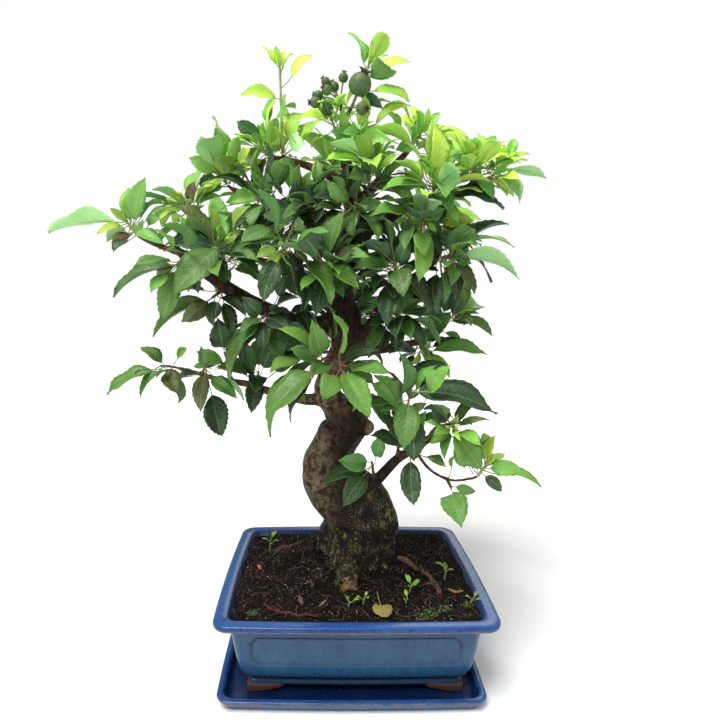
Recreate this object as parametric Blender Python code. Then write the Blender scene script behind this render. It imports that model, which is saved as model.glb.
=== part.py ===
"""Apple bonsai: a gnarled trunk with leafy sprays and small fruit, in a glazed pot on a saucer.

The model is in metres with +Z up. Its origin is on the surface under the saucer, at the middle
of the pot. The plan below is in millimetres, with +X to the right and -Y towards the front.
"""

import math
import random
from dataclasses import dataclass

import bmesh
import bpy
from mathutils import Vector
from mathutils.bvhtree import BVHTree

MM = 0.001
GAP = 0.3

# Pot: rim 260 x 200, rows of (inset from the rim's edge, height) from the underside to the floor
POT_SIZE = (260, 200)
POT_CORNER = 15
POT_BOW = 2
POT_FLOOR = 16
POT_ROWS = (
    (33, 10), (29.5, 10), (28, 12), (28, 14), (29.5, 16), (27.5, 18.5), (24, 22), (19.5, 34),
    (13.5, 78), (12, 79.2), (1.5, 80.5), (0, 82.5), (0, 85.5), (1.5, 87.6), (11.5, 87),
    (14, 83), (20.5, 77), (25.5, 36), (33, 18), (37, 16),
)
POT_WALL = (7, 8)
PANEL_DEPTH = 1.0
PANEL_HEIGHT = (38, 67)
PANEL_CHAMFER = 6
PANEL_MARGIN = 34
FOOT_HEIGHT = (3.3, 11)
FOOT_INSET = 27
FOOT_OUTLINE = ((2, 0), (38, 0), (34, 7), (17, 11), (11, 17), (7, 34), (0, 38), (0, 2))
DRAIN_RADIUS = 10
DRAIN_PLACES = ((-58, 0), (58, 0))
MESH_SIZE = 32
MESH_THICK = 1.2
MESH_HOLE = 9
MESH_PITCH = 12

# Saucer: rim 250 x 192
SAUCER_SIZE = (250, 192)
SAUCER_CENTRE = (-4, 0)
SAUCER_CORNER = 13
SAUCER_ROWS = ((6, 0), (1, 8.5), (0, 10.5), (1, 12), (6, 12), (9.5, 4.5), (12, 3))

# Soil: fills the pot to 5 below the rim and rises to the foot of the trunk
SOIL_EDGE = 83
SOIL_RISE = 11
SOIL_SPREAD = 52
SOIL_CENTRE = (6, 22)
SOIL_ROWS = ((37.4, 16.3), (33.4, 18.3), (25.9, 36), (20.9, 77), (14.7, 82.8))
SOIL_SHARES = (0.82, 0.62, 0.45)
SOCKET = 0.4
SEEDLING_RADIUS = 1.1
SEEDLING_DEEP = 4

# Trunk and roots: points of (x, y, z, radius), each line from its thick end to its thin end
TRUNK = (
    (6, 22, 50, 38), (6, 22, 74, 44), (6, 22, 92, 45), (7, 20, 120, 40), (11, 18, 137, 37),
    (1, 14, 156, 36), (-14, 12, 170, 32), (-23, 12, 187, 28), (-24, 14, 201, 26),
    (-15, 16, 215, 28), (-7, 16, 232, 28), (-5, 15, 245, 24), (-15, 13, 258, 17),
    (-24, 12, 271, 14), (-25, 12, 286, 13.5), (-17, 14, 303, 13), (-7, 16, 327, 14),
    (-10, 17, 353, 19), (-12, 16, 371, 15), (-12, 16, 388, 13), (-1, 20, 427, 11.5),
    (3, 20, 447, 11), (3, 18, 466, 9.5), (-3, 14, 485, 7.5), (-8, 10, 508, 5.5), (-11, 6, 543, 3.2),
)
ROOTS = {
    "left": ((-5, 20, 88, 22), (-38, 16, 90, 15), (-66, 10, 86, 9), (-88, 2, 80, 4)),
    "front_left": ((-5, 5, 88, 20), (-28, -18, 88, 12), (-48, -36, 82, 5)),
    "stump": ((2, 2, 88, 20), (-4, -22, 92, 13), (-7, -39, 94, 11)),
    "right": ((20, 20, 88, 22), (48, 18, 88, 12), (72, 10, 82, 5)),
    "right_front": ((20, 4, 86, 20), (40, -14, 87, 11), (56, -32, 81, 4)),
    "right_surface": ((44, 22, 88, 6), (60, 20, 88, 4), (76, -9, 86.5, 3.2), (84, -34, 85, 3),
                      (83, -49, 83, 2.4)),
    "back_left": ((-8, 34, 86, 18), (-32, 56, 84, 8), (-46, 68, 80, 4)),
    "back_right": ((18, 36, 86, 18), (38, 58, 84, 8), (50, 72, 80, 4)),
}
KNOB = ((8, 16, 240, 9), (12, 4, 241, 7.5), (13, -6, 241, 6))
BRANCHES = {
    "left": ((-10, 15, 350, 11), (-43, 2, 346, 9), (-68, -8, 354, 8), (-93, -16, 366, 7.5),
             (-114, -22, 378, 7), (-132, -28, 391, 6), (-147, -32, 401, 4.5),
             (-160, -34, 413, 3.2), (-184, -28, 422, 2.6), (-200, -23, 429, 2.2)),
    "left_rise": ((-126, -25, 387, 5), (-137, -6, 408, 4), (-155, 14, 433, 3.2),
                  (-166, 29, 454, 2.6)),
    "upper_left": ((1, 20, 440, 8), (-23, 20, 453, 6.5), (-48, 26, 463, 5.5), (-75, 33, 470, 4.5),
                   (-107, 38, 479, 3.6), (-126, 40, 486, 2.8)),
    "top_left": ((-4, 14, 484, 6), (-32, 24, 500, 4.5), (-58, 36, 512, 3.6), (-84, 48, 520, 2.8)),
    "upper_right": ((-2, 15, 326, 9), (14, 10, 338, 8), (25, 5, 355, 7), (32, 0, 373, 6.5),
                    (43, -8, 393, 5.5), (58, -16, 406, 4.5), (74, -21, 410, 3.4)),
    "right_top": ((3, 18, 436, 8), (26, 10, 446, 6.5), (49, 0, 460, 5.2), (71, -12, 466, 4.2),
                  (95, -16, 473, 3.4), (115, -18, 481, 2.6)),
    "top_right": ((3, 18, 465, 6), (26, 28, 491, 4.8), (47, 38, 513, 3.8), (58, 44, 525, 3)),
    "right_back": ((-2, 20, 317, 7), (36, 42, 318, 5.5), (73, 56, 324, 4.2), (98, 63, 334, 3)),
    "low_right": ((6, 0, 172, 9), (23, -18, 191, 7.5), (41, -34, 218, 6), (60, -44, 234, 5),
                  (75, -50, 249, 4), (86, -50, 257, 2.8)),
    "low_right_tip": ((56, -42, 231, 3.5), (71, -46, 212, 3), (91, -50, 203, 2.6),
                      (111, -50, 205, 2.2)),
    "low_left": ((-23, 12, 269, 8), (-49, 12, 268, 6), (-88, 16, 276, 4.5), (-111, 20, 283, 3.8),
                 (-138, 25, 286, 3.2), (-162, 29, 292, 2.6), (-186, 32, 298, 2.1)),
    "front": ((-7, 10, 332, 6), (-14, -22, 325, 4.5), (-20, -46, 318, 3)),
    "centre": ((-11, 10, 385, 6), (-18, -20, 393, 4.2), (-24, -40, 397, 3)),
    "back_left": ((-12, 25, 377, 8), (-43, 60, 395, 6), (-88, 92, 412, 4.5), (-128, 112, 421, 3)),
    "back_right": ((-7, 25, 402, 8), (28, 62, 418, 6), (72, 92, 428, 4.5), (110, 110, 429, 3)),
    "back_top": ((0, 26, 432, 7), (-1, 62, 463, 5.5), (-7, 92, 489, 4), (-12, 112, 506, 3)),
    "back_low": ((-24, 22, 280, 7), (-18, 52, 298, 5), (-11, 80, 315, 4), (-5, 98, 331, 3)),
}

# Leaf tones
DARK = (0.030, 0.085, 0.030)
MID = (0.062, 0.170, 0.045)
BRIGHT = (0.120, 0.330, 0.070)
LIME = (0.260, 0.480, 0.060)
PALE = (0.240, 0.480, 0.200)
OLIVE = (0.100, 0.140, 0.045)
DRY = (0.110, 0.055, 0.025)


@dataclass(frozen=True)
class Spray:
    """A leafy shoot: its foot and end, leaves left to the rule, and leaves placed by hand.

    A leaf placed by hand is (tip x, y, z, blade length, width seen from the front, tone).
    """

    name: str
    foot: tuple
    end: tuple
    more: int
    leaves: tuple


SPRAYS = (
    Spray("left_tip", (-204, -22, 430), (-214, -24, 445), 0, (
        (-283, -34, 434, 63, 9, PALE), (-236, -38, 432, 22, 7, LIME), (-237, -16, 427, 30, 10, PALE),
        (-212, -20, 477, 34, 16, BRIGHT), (-192, -32, 482, 39, 17, BRIGHT),
        (-175, -38, 422, 34, 13, BRIGHT), (-234, -12, 420, 41, 11, DRY),
    )),
    Spray("left_low", (-157, -33, 411), (-159, -46, 406), 1, (
        (-219, -58, 377, 60, 14, MID), (-186, -36, 387, 41, 9, OLIVE), (-150, -52, 379, 34, 11, MID),
    )),
    Spray("left_spur", (-134, -18, 407), (-124, -34, 423), 1, (
        (-162, -64, 375, 62, 27, MID), (-174, -40, 423, 45, 19, DARK), (-170, -28, 460, 58, 11, OLIVE),
        (-96, -40, 457, 27, 7, LIME), (-88, -54, 407, 39, 11, MID), (-119, -44, 387, 41, 16, DARK),
        (-130, -52, 454, 25, 8, LIME),
    )),
    Spray("left_rise", (-166, 30, 458), (-173, 26, 470), 1, (
        (-197, 18, 452, 30, 9, LIME), (-210, 34, 456, 36, 11, OLIVE), (-203, 22, 484, 34, 8, PALE),
        (-162, 26, 492, 26, 10, DRY),
    )),
    Spray("upper_left", (-129, 40, 488), (-138, 34, 502), 1, (
        (-140, -26, 520, 49, 28, PALE), (-167, 28, 515, 35, 16, BRIGHT), (-123, 26, 518, 20, 10, LIME),
        (-161, 42, 492, 41, 19, DARK),
    )),
    Spray("upper_left_mid", (-89, 50, 523), (-93, 56, 537), 1, (
        (-122, 52, 558, 48, 18, DARK), (-117, 40, 497, 46, 11, OLIVE), (-99, 34, 527, 30, 15, LIME),
        (-121, 42, 516, 42, 10, LIME), (-102, 32, 478, 40, 16, DARK),
    )),
    Spray("top_left", (-72, 38, 519), (-74, 34, 605), 0, (
        (-92, 36, 625, 26, 6, LIME), (-68, 30, 618, 14, 5, LIME), (-41, 30, 614, 29, 9, LIME),
        (-113, 28, 576, 38, 13, LIME), (-63, -22, 542, 46, 25, BRIGHT), (-53, 10, 517, 27, 15, PALE),
        (-63, 14, 482, 35, 17, BRIGHT),
    )),
    Spray("crown_left", (-18, 13, 536), (-22, 17, 548), 0, (
        (-31, -2, 564, 28, 11, DARK), (-29, 10, 564, 22, 10, OLIVE), (-53, -2, 546, 34, 8, LIME),
        (-41, 12, 572, 31, 9, LIME),
    )),
    Spray("crown_right", (-3, 5, 555), (14, 2, 595), 0, (
        (27, -28, 608, 32, 18, LIME), (-6, 2, 622, 39, 6, BRIGHT), (52, -2, 595, 34, 8, LIME),
        (27, -36, 568, 40, 22, MID), (53, -2, 561, 35, 6, LIME), (26, -6, 551, 28, 12, DARK),
    )),
    Spray("crown_low", (-8, 9, 517), (7, 2, 534), 1, (
        (-12, -8, 528, 43, 9, BRIGHT), (53, -4, 555, 36, 8, LIME), (-24, -12, 531, 38, 12, MID),
        (32, -16, 519, 36, 15, BRIGHT),
    )),
    Spray("top_mid", (15, 18, 477), (16, 6, 507), 1, (
        (-27, -10, 515, 43, 14, PALE), (-29, -20, 500, 43, 9, LIME), (26, 8, 526, 21, 9, LIME),
        (42, -2, 511, 25, 10, LIME), (-7, -28, 484, 39, 14, MID),
    )),
    Spray("top_mid_low", (9, 19, 458), (-3, -16, 460), 1, (
        (-28, -26, 480, 41, 15, BRIGHT), (27, -30, 458, 40, 14, MID), (-4, -42, 429, 41, 16, MID),
        (-40, -32, 466, 34, 11, DARK),
    )),
    Spray("top_right", (63, 46, 531), (75, 50, 550), 1, (
        (47, 54, 561, 24, 9, LIME), (64, 50, 572, 20, 8, LIME), (91, 48, 565, 24, 11, BRIGHT),
        (101, 40, 512, 34, 10, LIME), (125, 52, 538, 46, 9, LIME), (44, 34, 524, 39, 16, MID),
    )),
    Spray("top_right_low", (71, -12, 466), (74, -24, 476), 1, (
        (83, -70, 482, 40, 23, PALE), (103, -18, 485, 26, 9, LIME), (135, -36, 455, 48, 15, DARK),
        (21, -38, 470, 50, 9, BRIGHT), (84, -48, 448, 35, 14, MID),
    )),
    Spray("right_tip_low", (108, -17, 479), (110, -20, 496), 0, (
        (103, -42, 515, 30, 16, PALE), (85, -30, 502, 34, 10, MID), (120, -34, 459, 30, 11, MID),
    )),
    Spray("right_tip", (127, -19, 486), (141, -18, 499), 0, (
        (148, -18, 521, 20, 10, BRIGHT), (123, -16, 512, 21, 6, LIME), (164, -14, 509, 25, 6, LIME),
        (177, -22, 484, 35, 8, PALE), (152, -28, 460, 30, 10, PALE), (149, -34, 471, 27, 8, BRIGHT),
    )),
    Spray("right_mid", (49, 0, 459), (63, -26, 445), 1, (
        (57, -84, 457, 47, 26, PALE), (80, -40, 454, 34, 14, MID), (108, -32, 445, 31, 15, LIME),
        (117, -34, 426, 39, 14, MID), (7, -36, 446, 47, 8, BRIGHT), (42, -52, 416, 34, 13, MID),
    )),
    Spray("right_low", (74, -21, 410), (91, -26, 413), 1, (
        (154, -32, 393, 59, 6, PALE), (114, -22, 407, 34, 11, MID), (111, -36, 378, 35, 11, OLIVE),
        (105, -32, 427, 36, 14, MID), (92, -42, 372, 36, 14, DARK),
    )),
    Spray("right_low_b", (98, 64, 336), (118, 60, 357), 1, (
        (126, 52, 384, 25, 10, LIME), (160, 54, 333, 43, 8, MID), (141, 64, 353, 35, 14, MID),
    )),
    Spray("right_inner", (43, -8, 393), (37, -34, 405), 1, (
        (39, -70, 375, 39, 22, MID), (67, -44, 361, 48, 13, DARK), (47, -48, 429, 29, 16, MID),
    )),
    Spray("right_inner_low", (30, 2, 365), (41, -14, 360), 1, (
        (67, -26, 324, 41, 13, DARK), (61, -28, 372, 29, 15, MID),
    )),
    Spray("centre_left", (-53, 0, 460), (-65, -52, 416), 1, (
        (-47, -78, 363, 60, 16, DARK), (-89, -60, 409, 21, 10, LIME), (-26, -74, 365, 58, 19, MID),
        (-47, -58, 439, 34, 14, PALE), (-82, -58, 446, 35, 14, PALE), (-105, -46, 423, 34, 13, MID),
    )),
    Spray("centre", (-24, -42, 398), (-29, -60, 405), 1, (
        (-38, -76, 355, 37, 17, MID), (-11, -64, 449, 38, 16, MID), (-50, -96, 420, 35, 19, DARK),
        (1, -72, 382, 38, 15, BRIGHT), (-29, -50, 437, 35, 16, DARK), (2, -64, 415, 38, 14, MID),
    )),
    Spray("centre_high", (-28, 20, 455), (-35, -14, 462), 1, (
        (-64, -28, 467, 38, 15, BRIGHT), (-31, -24, 482, 28, 15, MID), (-50, -36, 433, 40, 16, DARK),
    )),
    Spray("left_high", (-83, 34, 471), (-91, 8, 473), 1, (
        (-123, -10, 464, 41, 15, BRIGHT), (-84, 0, 494, 28, 15, MID), (-100, -16, 441, 35, 14, MID),
        (-60, -14, 453, 36, 12, DARK),
    )),
    Spray("front_left", (-26, -49, 320), (-34, -68, 318), 0, (
        (-80, -92, 273, 57, 22, BRIGHT), (-82, -70, 251, 71, 14, MID), (-63, -56, 260, 46, 9, DARK),
        (-39, -84, 356, 39, 19, BRIGHT), (-67, -76, 350, 40, 10, BRIGHT), (-60, -64, 328, 32, 15, MID),
    )),
    Spray("front_right", (-16, -50, 317), (-15, -72, 313), 0, (
        (-31, -116, 295, 36, 20, MID), (10, -100, 275, 48, 23, BRIGHT), (-1, -68, 273, 39, 10, MID),
        (27, -92, 313, 41, 13, BRIGHT), (17, -80, 330, 40, 12, DARK),
    )),
    Spray("front_back", (-24, -30, 322), (-41, -34, 323), 1, (
        (-75, -38, 355, 47, 26, DARK), (-58, -26, 366, 46, 19, DARK), (-83, -30, 311, 35, 15, DARK),
    )),
    Spray("low_left_tip", (-195, 32, 300), (-207, 36, 300), 0, (
        (-264, 30, 270, 55, 9, MID), (-228, 22, 267, 38, 10, MID), (-183, 16, 273, 38, 21, OLIVE),
        (-229, 40, 321, 34, 12, MID),
    )),
    Spray("low_left", (-161, 28, 292), (-152, 14, 303), 0, (
        (-158, 6, 256, 39, 18, OLIVE), (-145, -4, 235, 49, 27, DARK), (-114, 14, 269, 34, 8, PALE),
        (-156, 10, 324, 24, 12, MID),
    )),
    Spray("low_left_rise", (-127, 24, 285), (-136, 30, 316), 0, (
        (-138, 10, 353, 41, 24, DARK), (-114, 22, 347, 39, 9, BRIGHT), (-165, 24, 318, 34, 14, BRIGHT),
    )),
    Spray("low_left_inner", (-99, 18, 279), (-96, 0, 299), 0, (
        (-95, -28, 283, 35, 20, DARK), (-101, -22, 261, 35, 20, DARK), (-119, -8, 332, 39, 15, MID),
        (-77, -6, 334, 36, 18, DARK),
    )),
    Spray("left_hang", (-122, -25, 383), (-132, -34, 375), 0, (
        (-159, -50, 352, 36, 17, OLIVE), (-188, -34, 335, 63, 14, MID), (-130, -50, 348, 34, 11, DARK),
        (-100, -48, 357, 34, 11, DARK),
    )),
    Spray("left_inner", (-82, -10, 360), (-87, -40, 355), 1, (
        (-109, -52, 325, 34, 11, MID), (-102, -58, 375, 32, 16, DARK), (-86, -54, 325, 36, 19, DARK),
        (-58, -60, 344, 38, 16, DARK),
    )),
    Spray("low_right_main", (40, -34, 219), (50, -58, 293), 1, (
        (124, -74, 274, 71, 24, DARK), (40, -82, 242, 52, 24, MID), (53, -62, 224, 62, 23, DARK),
        (15, -66, 306, 38, 14, MID), (38, -62, 326, 40, 15, MID), (74, -66, 314, 34, 14, BRIGHT),
    )),
    Spray("low_right_under", (54, -42, 231), (49, -60, 234), 0, (
        (53, -74, 189, 41, 21, DARK), (23, -60, 269, 37, 14, DARK), (15, -76, 260, 38, 12, DARK),
    )),
    Spray("low_right_out", (89, -50, 260), (88, -56, 259), 0, (
        (106, -62, 284, 38, 10, MID), (122, -60, 265, 29, 7, LIME), (113, -74, 220, 43, 21, MID),
        (66, -62, 279, 36, 15, DARK),
    )),
    Spray("low_right_tip", (114, -50, 205), (123, -52, 220), 0, (
        (110, -48, 241, 24, 9, MID), (125, -56, 249, 28, 11, LIME), (154, -58, 216, 31, 15, BRIGHT),
        (175, -52, 198, 44, 9, BRIGHT), (134, -64, 197, 30, 12, DARK),
    )),
    Spray("low_right_hang", (86, -48, 206), (87, -58, 202), 0, (
        (87, -104, 182, 42, 24, MID), (109, -68, 199, 25, 10, MID),
    )),
    Spray("trunk_front", (21, -16, 193), (16, -44, 219), 0, (
        (-16, -54, 224, 39, 19, MID), (-12, -66, 184, 37, 20, DARK), (-31, -48, 199, 41, 14, DARK),
        (26, -50, 250, 30, 14, MID),
    )),
    Spray("right_up", (75, 57, 324), (77, 30, 316), 0, (
        (78, 24, 344, 26, 9, LIME), (142, 20, 314, 55, 15, BRIGHT), (104, 22, 289, 33, 11, LIME),
        (126, 38, 325, 45, 11, DARK),
    )),
    Spray("back_left", (-88, 92, 412), (-110, 118, 450), 7, ()),
    Spray("back_left_tip", (-133, 115, 422), (-165, 128, 440), 6, ()),
    Spray("back_top", (-13, 115, 509), (-20, 135, 545), 7, ()),
    Spray("back_right", (72, 92, 428), (88, 112, 470), 6, ()),
    Spray("back_right_tip", (114, 112, 429), (145, 126, 446), 6, ()),
    Spray("back_low", (-4, 100, 334), (6, 128, 352), 6, ()),
)

# Fruit: a spur's foot on the wood, the hub where the stalks meet, and (x, y, z, radius) of each
FRUIT_LEFT = {
    "foot": (-12, 5, 551),
    "hub": (-14, 3, 559),
    "fruit": (
        (-38, -3, 557, 5.2), (-35, 8, 567, 4.7), (-27, -6, 567, 4.8), (-20, 5, 574, 5),
        (-11, -1, 580, 4.6), (-28, 1, 577, 4.3),
    ),
}
FRUIT_RIGHT = {
    "foot": (-7, 0, 547),
    "hub": (-4, -6, 551),
    "fruit": ((4, -14, 569, 10.5), (6, -17, 547, 5.8)),
}

SPUR_RADII = (2.2, 2, 1.8)
FRUIT_STALK = (0.9, 0.8)

# On the soil: seedlings as (x, y, height, leaves), and the middle line of what fell
SEEDLINGS = ((-92, 45, 16, 3), (55, -43, 10, 3), (95, -18, 15, 3))
SEEDLING_LEAF = 10
FALLEN_LEAF = (24, -75)
FALLEN_SIZE = (19, 17)
FALLEN_TWIG = ((-87, -64), (-66, -75), (-35, -81))

# Leaves: each blade is solid, folded along its rib, with (share of length, share of width) teeth
TINY_TEETH = ((0.28, 1), (0.68, 1.02))
SMALL_TEETH = ((0.2, 1), (0.5, 1.04), (0.78, 0.95))
BIG_TEETH = ((0.13, 0.96), (0.36, 1.04), (0.42, 0.88), (0.68, 1))
LONG_TEETH = ((0.13, 0.96), (0.36, 1.04), (0.41, 0.9), (0.66, 1.04), (0.72, 0.86))
SMALL_LEAF = 31
BIG_LEAF = 34
LONG_LEAF = 46
RIB_SHARE = 0.45
BLADE_THICK = 1.3
STALK_RADIUS = 0.85
FOLD = math.radians(20)
BLADE_WIDEST = 0.8
BLADE_FULL = 0.9
ARCH = 0.07
ARCH_STEEP = 0.05
WIDTH_SHARE = 0.5
LEAF_CLEAR = 0.45
LOWEST_LEAF = 100
MOST_TRIES = 90

# Shoots, and how they and the leaves are set out
SHOOT_SEED = 7
BARK_CLEAR = 3
SHORTEST_SHOOT = 8
SHORT_TWIG = 16
THICKEST_TWIG = 2.6
SHOOT_RADII = (1.5, 1.3, 1)
DRIFT = 0.9
MOST_DRIFT = 26
SHORTEST_STALK = 6
RULED_LENGTH = (42, 60)
RULED_SHARE = (0.42, 0.52)
RULED_STALK = (8, 16)
FRONT_VIEW = Vector((-29, -522, 377))
GOLDEN = math.radians(137.5)
UP = Vector((0, 0, 1))


@dataclass(frozen=True)
class Leaf:
    """A leaf: its stalk's foot, blade's base, chord and upper side, its sizes and its tone."""

    foot: Vector
    base: Vector
    chord: Vector
    face: Vector
    length: float
    width: float
    tone: tuple

    @property
    def side(self):
        return self.chord.cross(self.face)

    @property
    def arch(self):
        return ARCH + ARCH_STEEP * abs(self.chord.z)

    @property
    def lowest(self):
        return min(self.rib(1).z, self.base.z) - 0.3 * self.width

    def up(self, t):
        """The upper side's direction on the rib at share t of the blade."""
        bend = 4 * self.arch * (1 - 2 * t)
        return (self.face - self.chord * bend).normalized()

    def rib(self, t):
        rise = 4 * self.arch * t * (1 - t)
        return self.base + (self.chord * t + self.face * rise) * self.length

    def edge(self, t, share):
        """A point at share of the half width, to the right or, below zero, the left of the rib."""
        half = 0.5 * self.width * math.sin(math.pi * t**BLADE_WIDEST) ** BLADE_FULL
        across = self.side * math.cos(FOLD) * share + self.up(t) * math.sin(FOLD) * abs(share)
        return self.rib(t) + across * half


def teeth_of(leaf):
    for least, teeth in ((LONG_LEAF, LONG_TEETH), (BIG_LEAF, BIG_TEETH), (SMALL_LEAF, SMALL_TEETH)):
        if leaf.length > least:
            return teeth
    return TINY_TEETH


def strip(rib, rib_at, edge, edge_at, flip):
    """Triangles between the rib and one edge, taken in order of their share of the length."""
    i, j, faces = 0, 0, []
    while i < len(rib) - 1 or j < len(edge) - 1:
        along_rib = i < len(rib) - 1 and rib_at[i + 1] <= edge_at[min(j + 1, len(edge) - 1)]
        if along_rib or j == len(edge) - 1:
            face = (rib[i], rib[i + 1], edge[j])
            i += 1
        else:
            face = (rib[i], edge[j + 1], edge[j])
            j += 1
        if len(set(face)) == 3:
            faces.append(face[::-1] if flip else face)
    return faces


def stalk_solid(leaf, spare):
    """The points and faces of a three-sided stalk, open at the blade's base."""
    points = []
    for place in (leaf.foot, leaf.base):
        for way in (leaf.side, -leaf.up(0), -leaf.side):
            points.append(place + way * (STALK_RADIUS + spare))
    faces = [(2, 1, 0)]
    for a, b in ((0, 1), (1, 2), (2, 0)):
        faces += [(a, b, b + 3), (a, b + 3, a + 3)]
    return points, faces


def leaf_solid(leaf, spare=0.0):
    """The stalk lofted into a folded blade whose two faces are split into triangles alike."""
    points, faces = stalk_solid(leaf, spare)
    thick = 0.5 * BLADE_THICK + spare
    rib_top, rib_low = len(points), len(points) + 1
    points += [leaf.rib(RIB_SHARE) + leaf.up(RIB_SHARE) * way * thick for way in (1, -1)]
    right, left = [3], [5]
    for t, share in teeth_of(leaf):
        share += 2 * spare / leaf.width
        right.append(len(points))
        left.append(len(points) + 1)
        points += [leaf.edge(t, share), leaf.edge(t, -share)]
    tip = len(points)
    points.append(leaf.rib(1) + leaf.chord * spare)
    edge_at = (0, *(t for t, _ in teeth_of(leaf)), 1)
    faces.append((5, 3, rib_top))
    for edge, flip in ((right, False), (left, True)):
        faces += strip([rib_top, tip], (RIB_SHARE, 1), [*edge, tip], edge_at, flip)
        faces += strip([4, rib_low, tip], (0, RIB_SHARE, 1), [*edge, tip], edge_at, not flip)
    return points, faces


def blade_only(solid):
    """The blade's faces, without its stalk's seven."""
    points, faces = solid
    return points, faces[7:]


def tube(points, radii, sides, end_way=None, lobes=None):
    """A closed tube of flat sides through the points; end_way turns its last face."""
    places = [Vector(p) for p in points]
    ways = []
    for i in range(len(places)):
        before, after = places[max(i - 1, 0)], places[min(i + 1, len(places) - 1)]
        ways.append((after - before).normalized())
    if end_way is not None:
        ways[-1] = end_way
    side = ways[0].orthogonal().normalized()
    verts = []
    for place, way, radius in zip(places, ways, radii):
        side = (side - way * side.dot(way)).normalized()
        other = way.cross(side)
        for k in range(sides):
            angle = 2 * math.pi * k / sides
            reach = radius * (lobes(place, angle) if lobes else 1)
            verts.append(place + (side * math.cos(angle) + other * math.sin(angle)) * reach)
    return verts, sleeve(len(places), sides)


def sleeve(rows, sides):
    """The triangles and two end faces that close rows of equal counts of points."""
    last = (rows - 1) * sides
    faces = [tuple(reversed(range(sides))), tuple(range(last, last + sides))]
    for row in range(rows - 1):
        for k in range(sides):
            a, b = row * sides + k, row * sides + (k + 1) % sides
            faces += [(a, b, b + sides), (a, b + sides, a + sides)]
    return faces


def line_tube(line, sides, grown=0.0, lobes=None):
    """A tube along (x, y, z, radius) points, made longer and thicker all round by grown."""
    places = [Vector(p[:3]) for p in line]
    places[0] += (places[0] - places[1]).normalized() * grown
    places[-1] += (places[-1] - places[-2]).normalized() * grown
    return tube(places, [p[3] + grown for p in line], sides, lobes=lobes)


def trunk_lobes(place, angle):
    """The trunk's section, drawn in and out along its length."""
    turn = 0.04 * math.sin(2 * angle + place.z * 0.05)
    return 1 + turn + 0.04 * math.sin(5 * angle - place.z * 0.09)


def ball(centre, radius, around, rows, axis):
    """A fruit of flat faces round an axis."""
    side = axis.orthogonal().normalized()
    other = axis.cross(side)
    verts = [centre - axis * radius]
    for row in range(1, rows):
        turn = math.pi * row / rows
        for k in range(around):
            angle = 2 * math.pi * k / around
            out = side * math.cos(angle) + other * math.sin(angle)
            verts.append(centre + (out * math.sin(turn) - axis * math.cos(turn)) * radius)
    verts.append(centre + axis * radius)
    faces = [(0, 1 + (k + 1) % around, 1 + k) for k in range(around)]
    for row in range(rows - 2):
        for k in range(around):
            a, b = 1 + row * around + k, 1 + row * around + (k + 1) % around
            faces.append((a, b, b + around, a + around))
    top, ring = len(verts) - 1, 1 + (rows - 2) * around
    faces += [(ring + k, ring + (k + 1) % around, top) for k in range(around)]
    return verts, faces


def calyx(centre, axis, radius):
    """The dried flower at a fruit's far end: a short five-sided cup."""
    side = axis.orthogonal().normalized()
    other = axis.cross(side)
    verts = [centre - axis * radius * 0.5]
    for k in range(5):
        angle = 2 * math.pi * k / 5
        out = side * math.cos(angle) + other * math.sin(angle)
        verts.append(centre + (out * 0.62 + axis * 0.55) * radius)
    verts.append(centre + axis * radius * 0.1)
    faces = [(0, 1 + (k + 1) % 5, 1 + k) for k in range(5)]
    faces += [(6, 1 + k, 1 + (k + 1) % 5) for k in range(5)]
    return verts, faces


def fruit_solids(bunch):
    """A short spur, then a stalk, a fruit and its calyx for each place in the bunch."""
    foot, hub = Vector(bunch["foot"]), Vector(bunch["hub"])
    way = (hub - foot).normalized()
    solids = [tube((foot + way * GAP, hub, hub + way * 1.5), (1.7, 1.6, 1.2), 6)]
    for x, y, z, radius in bunch["fruit"]:
        centre = Vector((x, y, z))
        axis = (centre - hub).normalized()
        solids.append(tube((hub, centre - axis * radius * 0.7), FRUIT_STALK, 4))
        solids.append(ball(centre, radius, 7, 4, axis))
        solids.append(calyx(centre + axis * radius * 0.97, axis, radius * 0.6))
    return solids


def nearest_on_wood(point):
    """The nearest branch or upper trunk: the bark's distance, and the place, radius and way there."""
    best = None
    for line in (TRUNK[13:], *BRANCHES.values()):
        for a, b in zip(line, line[1:]):
            start, end = Vector(a[:3]), Vector(b[:3])
            span = end - start
            t = min(max((point - start).dot(span) / span.length_squared, 0), 1)
            place = start + span * t
            radius = a[3] + (b[3] - a[3]) * t
            bark = (point - place).length - radius
            if best is None or bark < best[0]:
                best = (bark, place, radius, span.normalized())
    return best


@dataclass(frozen=True)
class Shoot:
    """A spray's stem from its foot to its end, and the twig that carries it."""

    foot: Vector
    end: Vector
    twig: tuple
    twig_radii: tuple

    @property
    def way(self):
        return (self.end - self.foot).normalized()

    @property
    def twig_solid(self):
        return tube(self.twig, self.twig_radii, 4, end_way=self.way)

    @property
    def solid(self):
        start = self.foot + self.way * GAP
        return tube((start, start.lerp(self.end, 0.5), self.end), SHOOT_RADII, 4)


def plan_shoot(foot, end):
    """The twig curves from the nearest wood to the shoot's foot, which stands clear of the bark."""
    foot, end = Vector(foot), Vector(end)
    way = (end - foot).normalized()
    _, place, radius, along = nearest_on_wood(foot)
    while nearest_on_wood(foot)[0] < BARK_CLEAR:
        foot += way
    if (end - foot).dot(way) < SHORTEST_SHOOT:
        end = foot + way * SHORTEST_SHOOT
    reach = (foot - place).length
    thick = min(0.75 * radius, THICKEST_TWIG)
    if reach < SHORT_TWIG:
        return Shoot(foot, end, (place, foot), (thick, 1.9))
    bend = (place + along * reach * 0.3 + foot - way * reach * 0.35) * 0.5
    middle = bend * 0.75 + (place + foot) * 0.125
    return Shoot(foot, end, (place, middle, foot), (thick, 2.1, 1.8))


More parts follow.
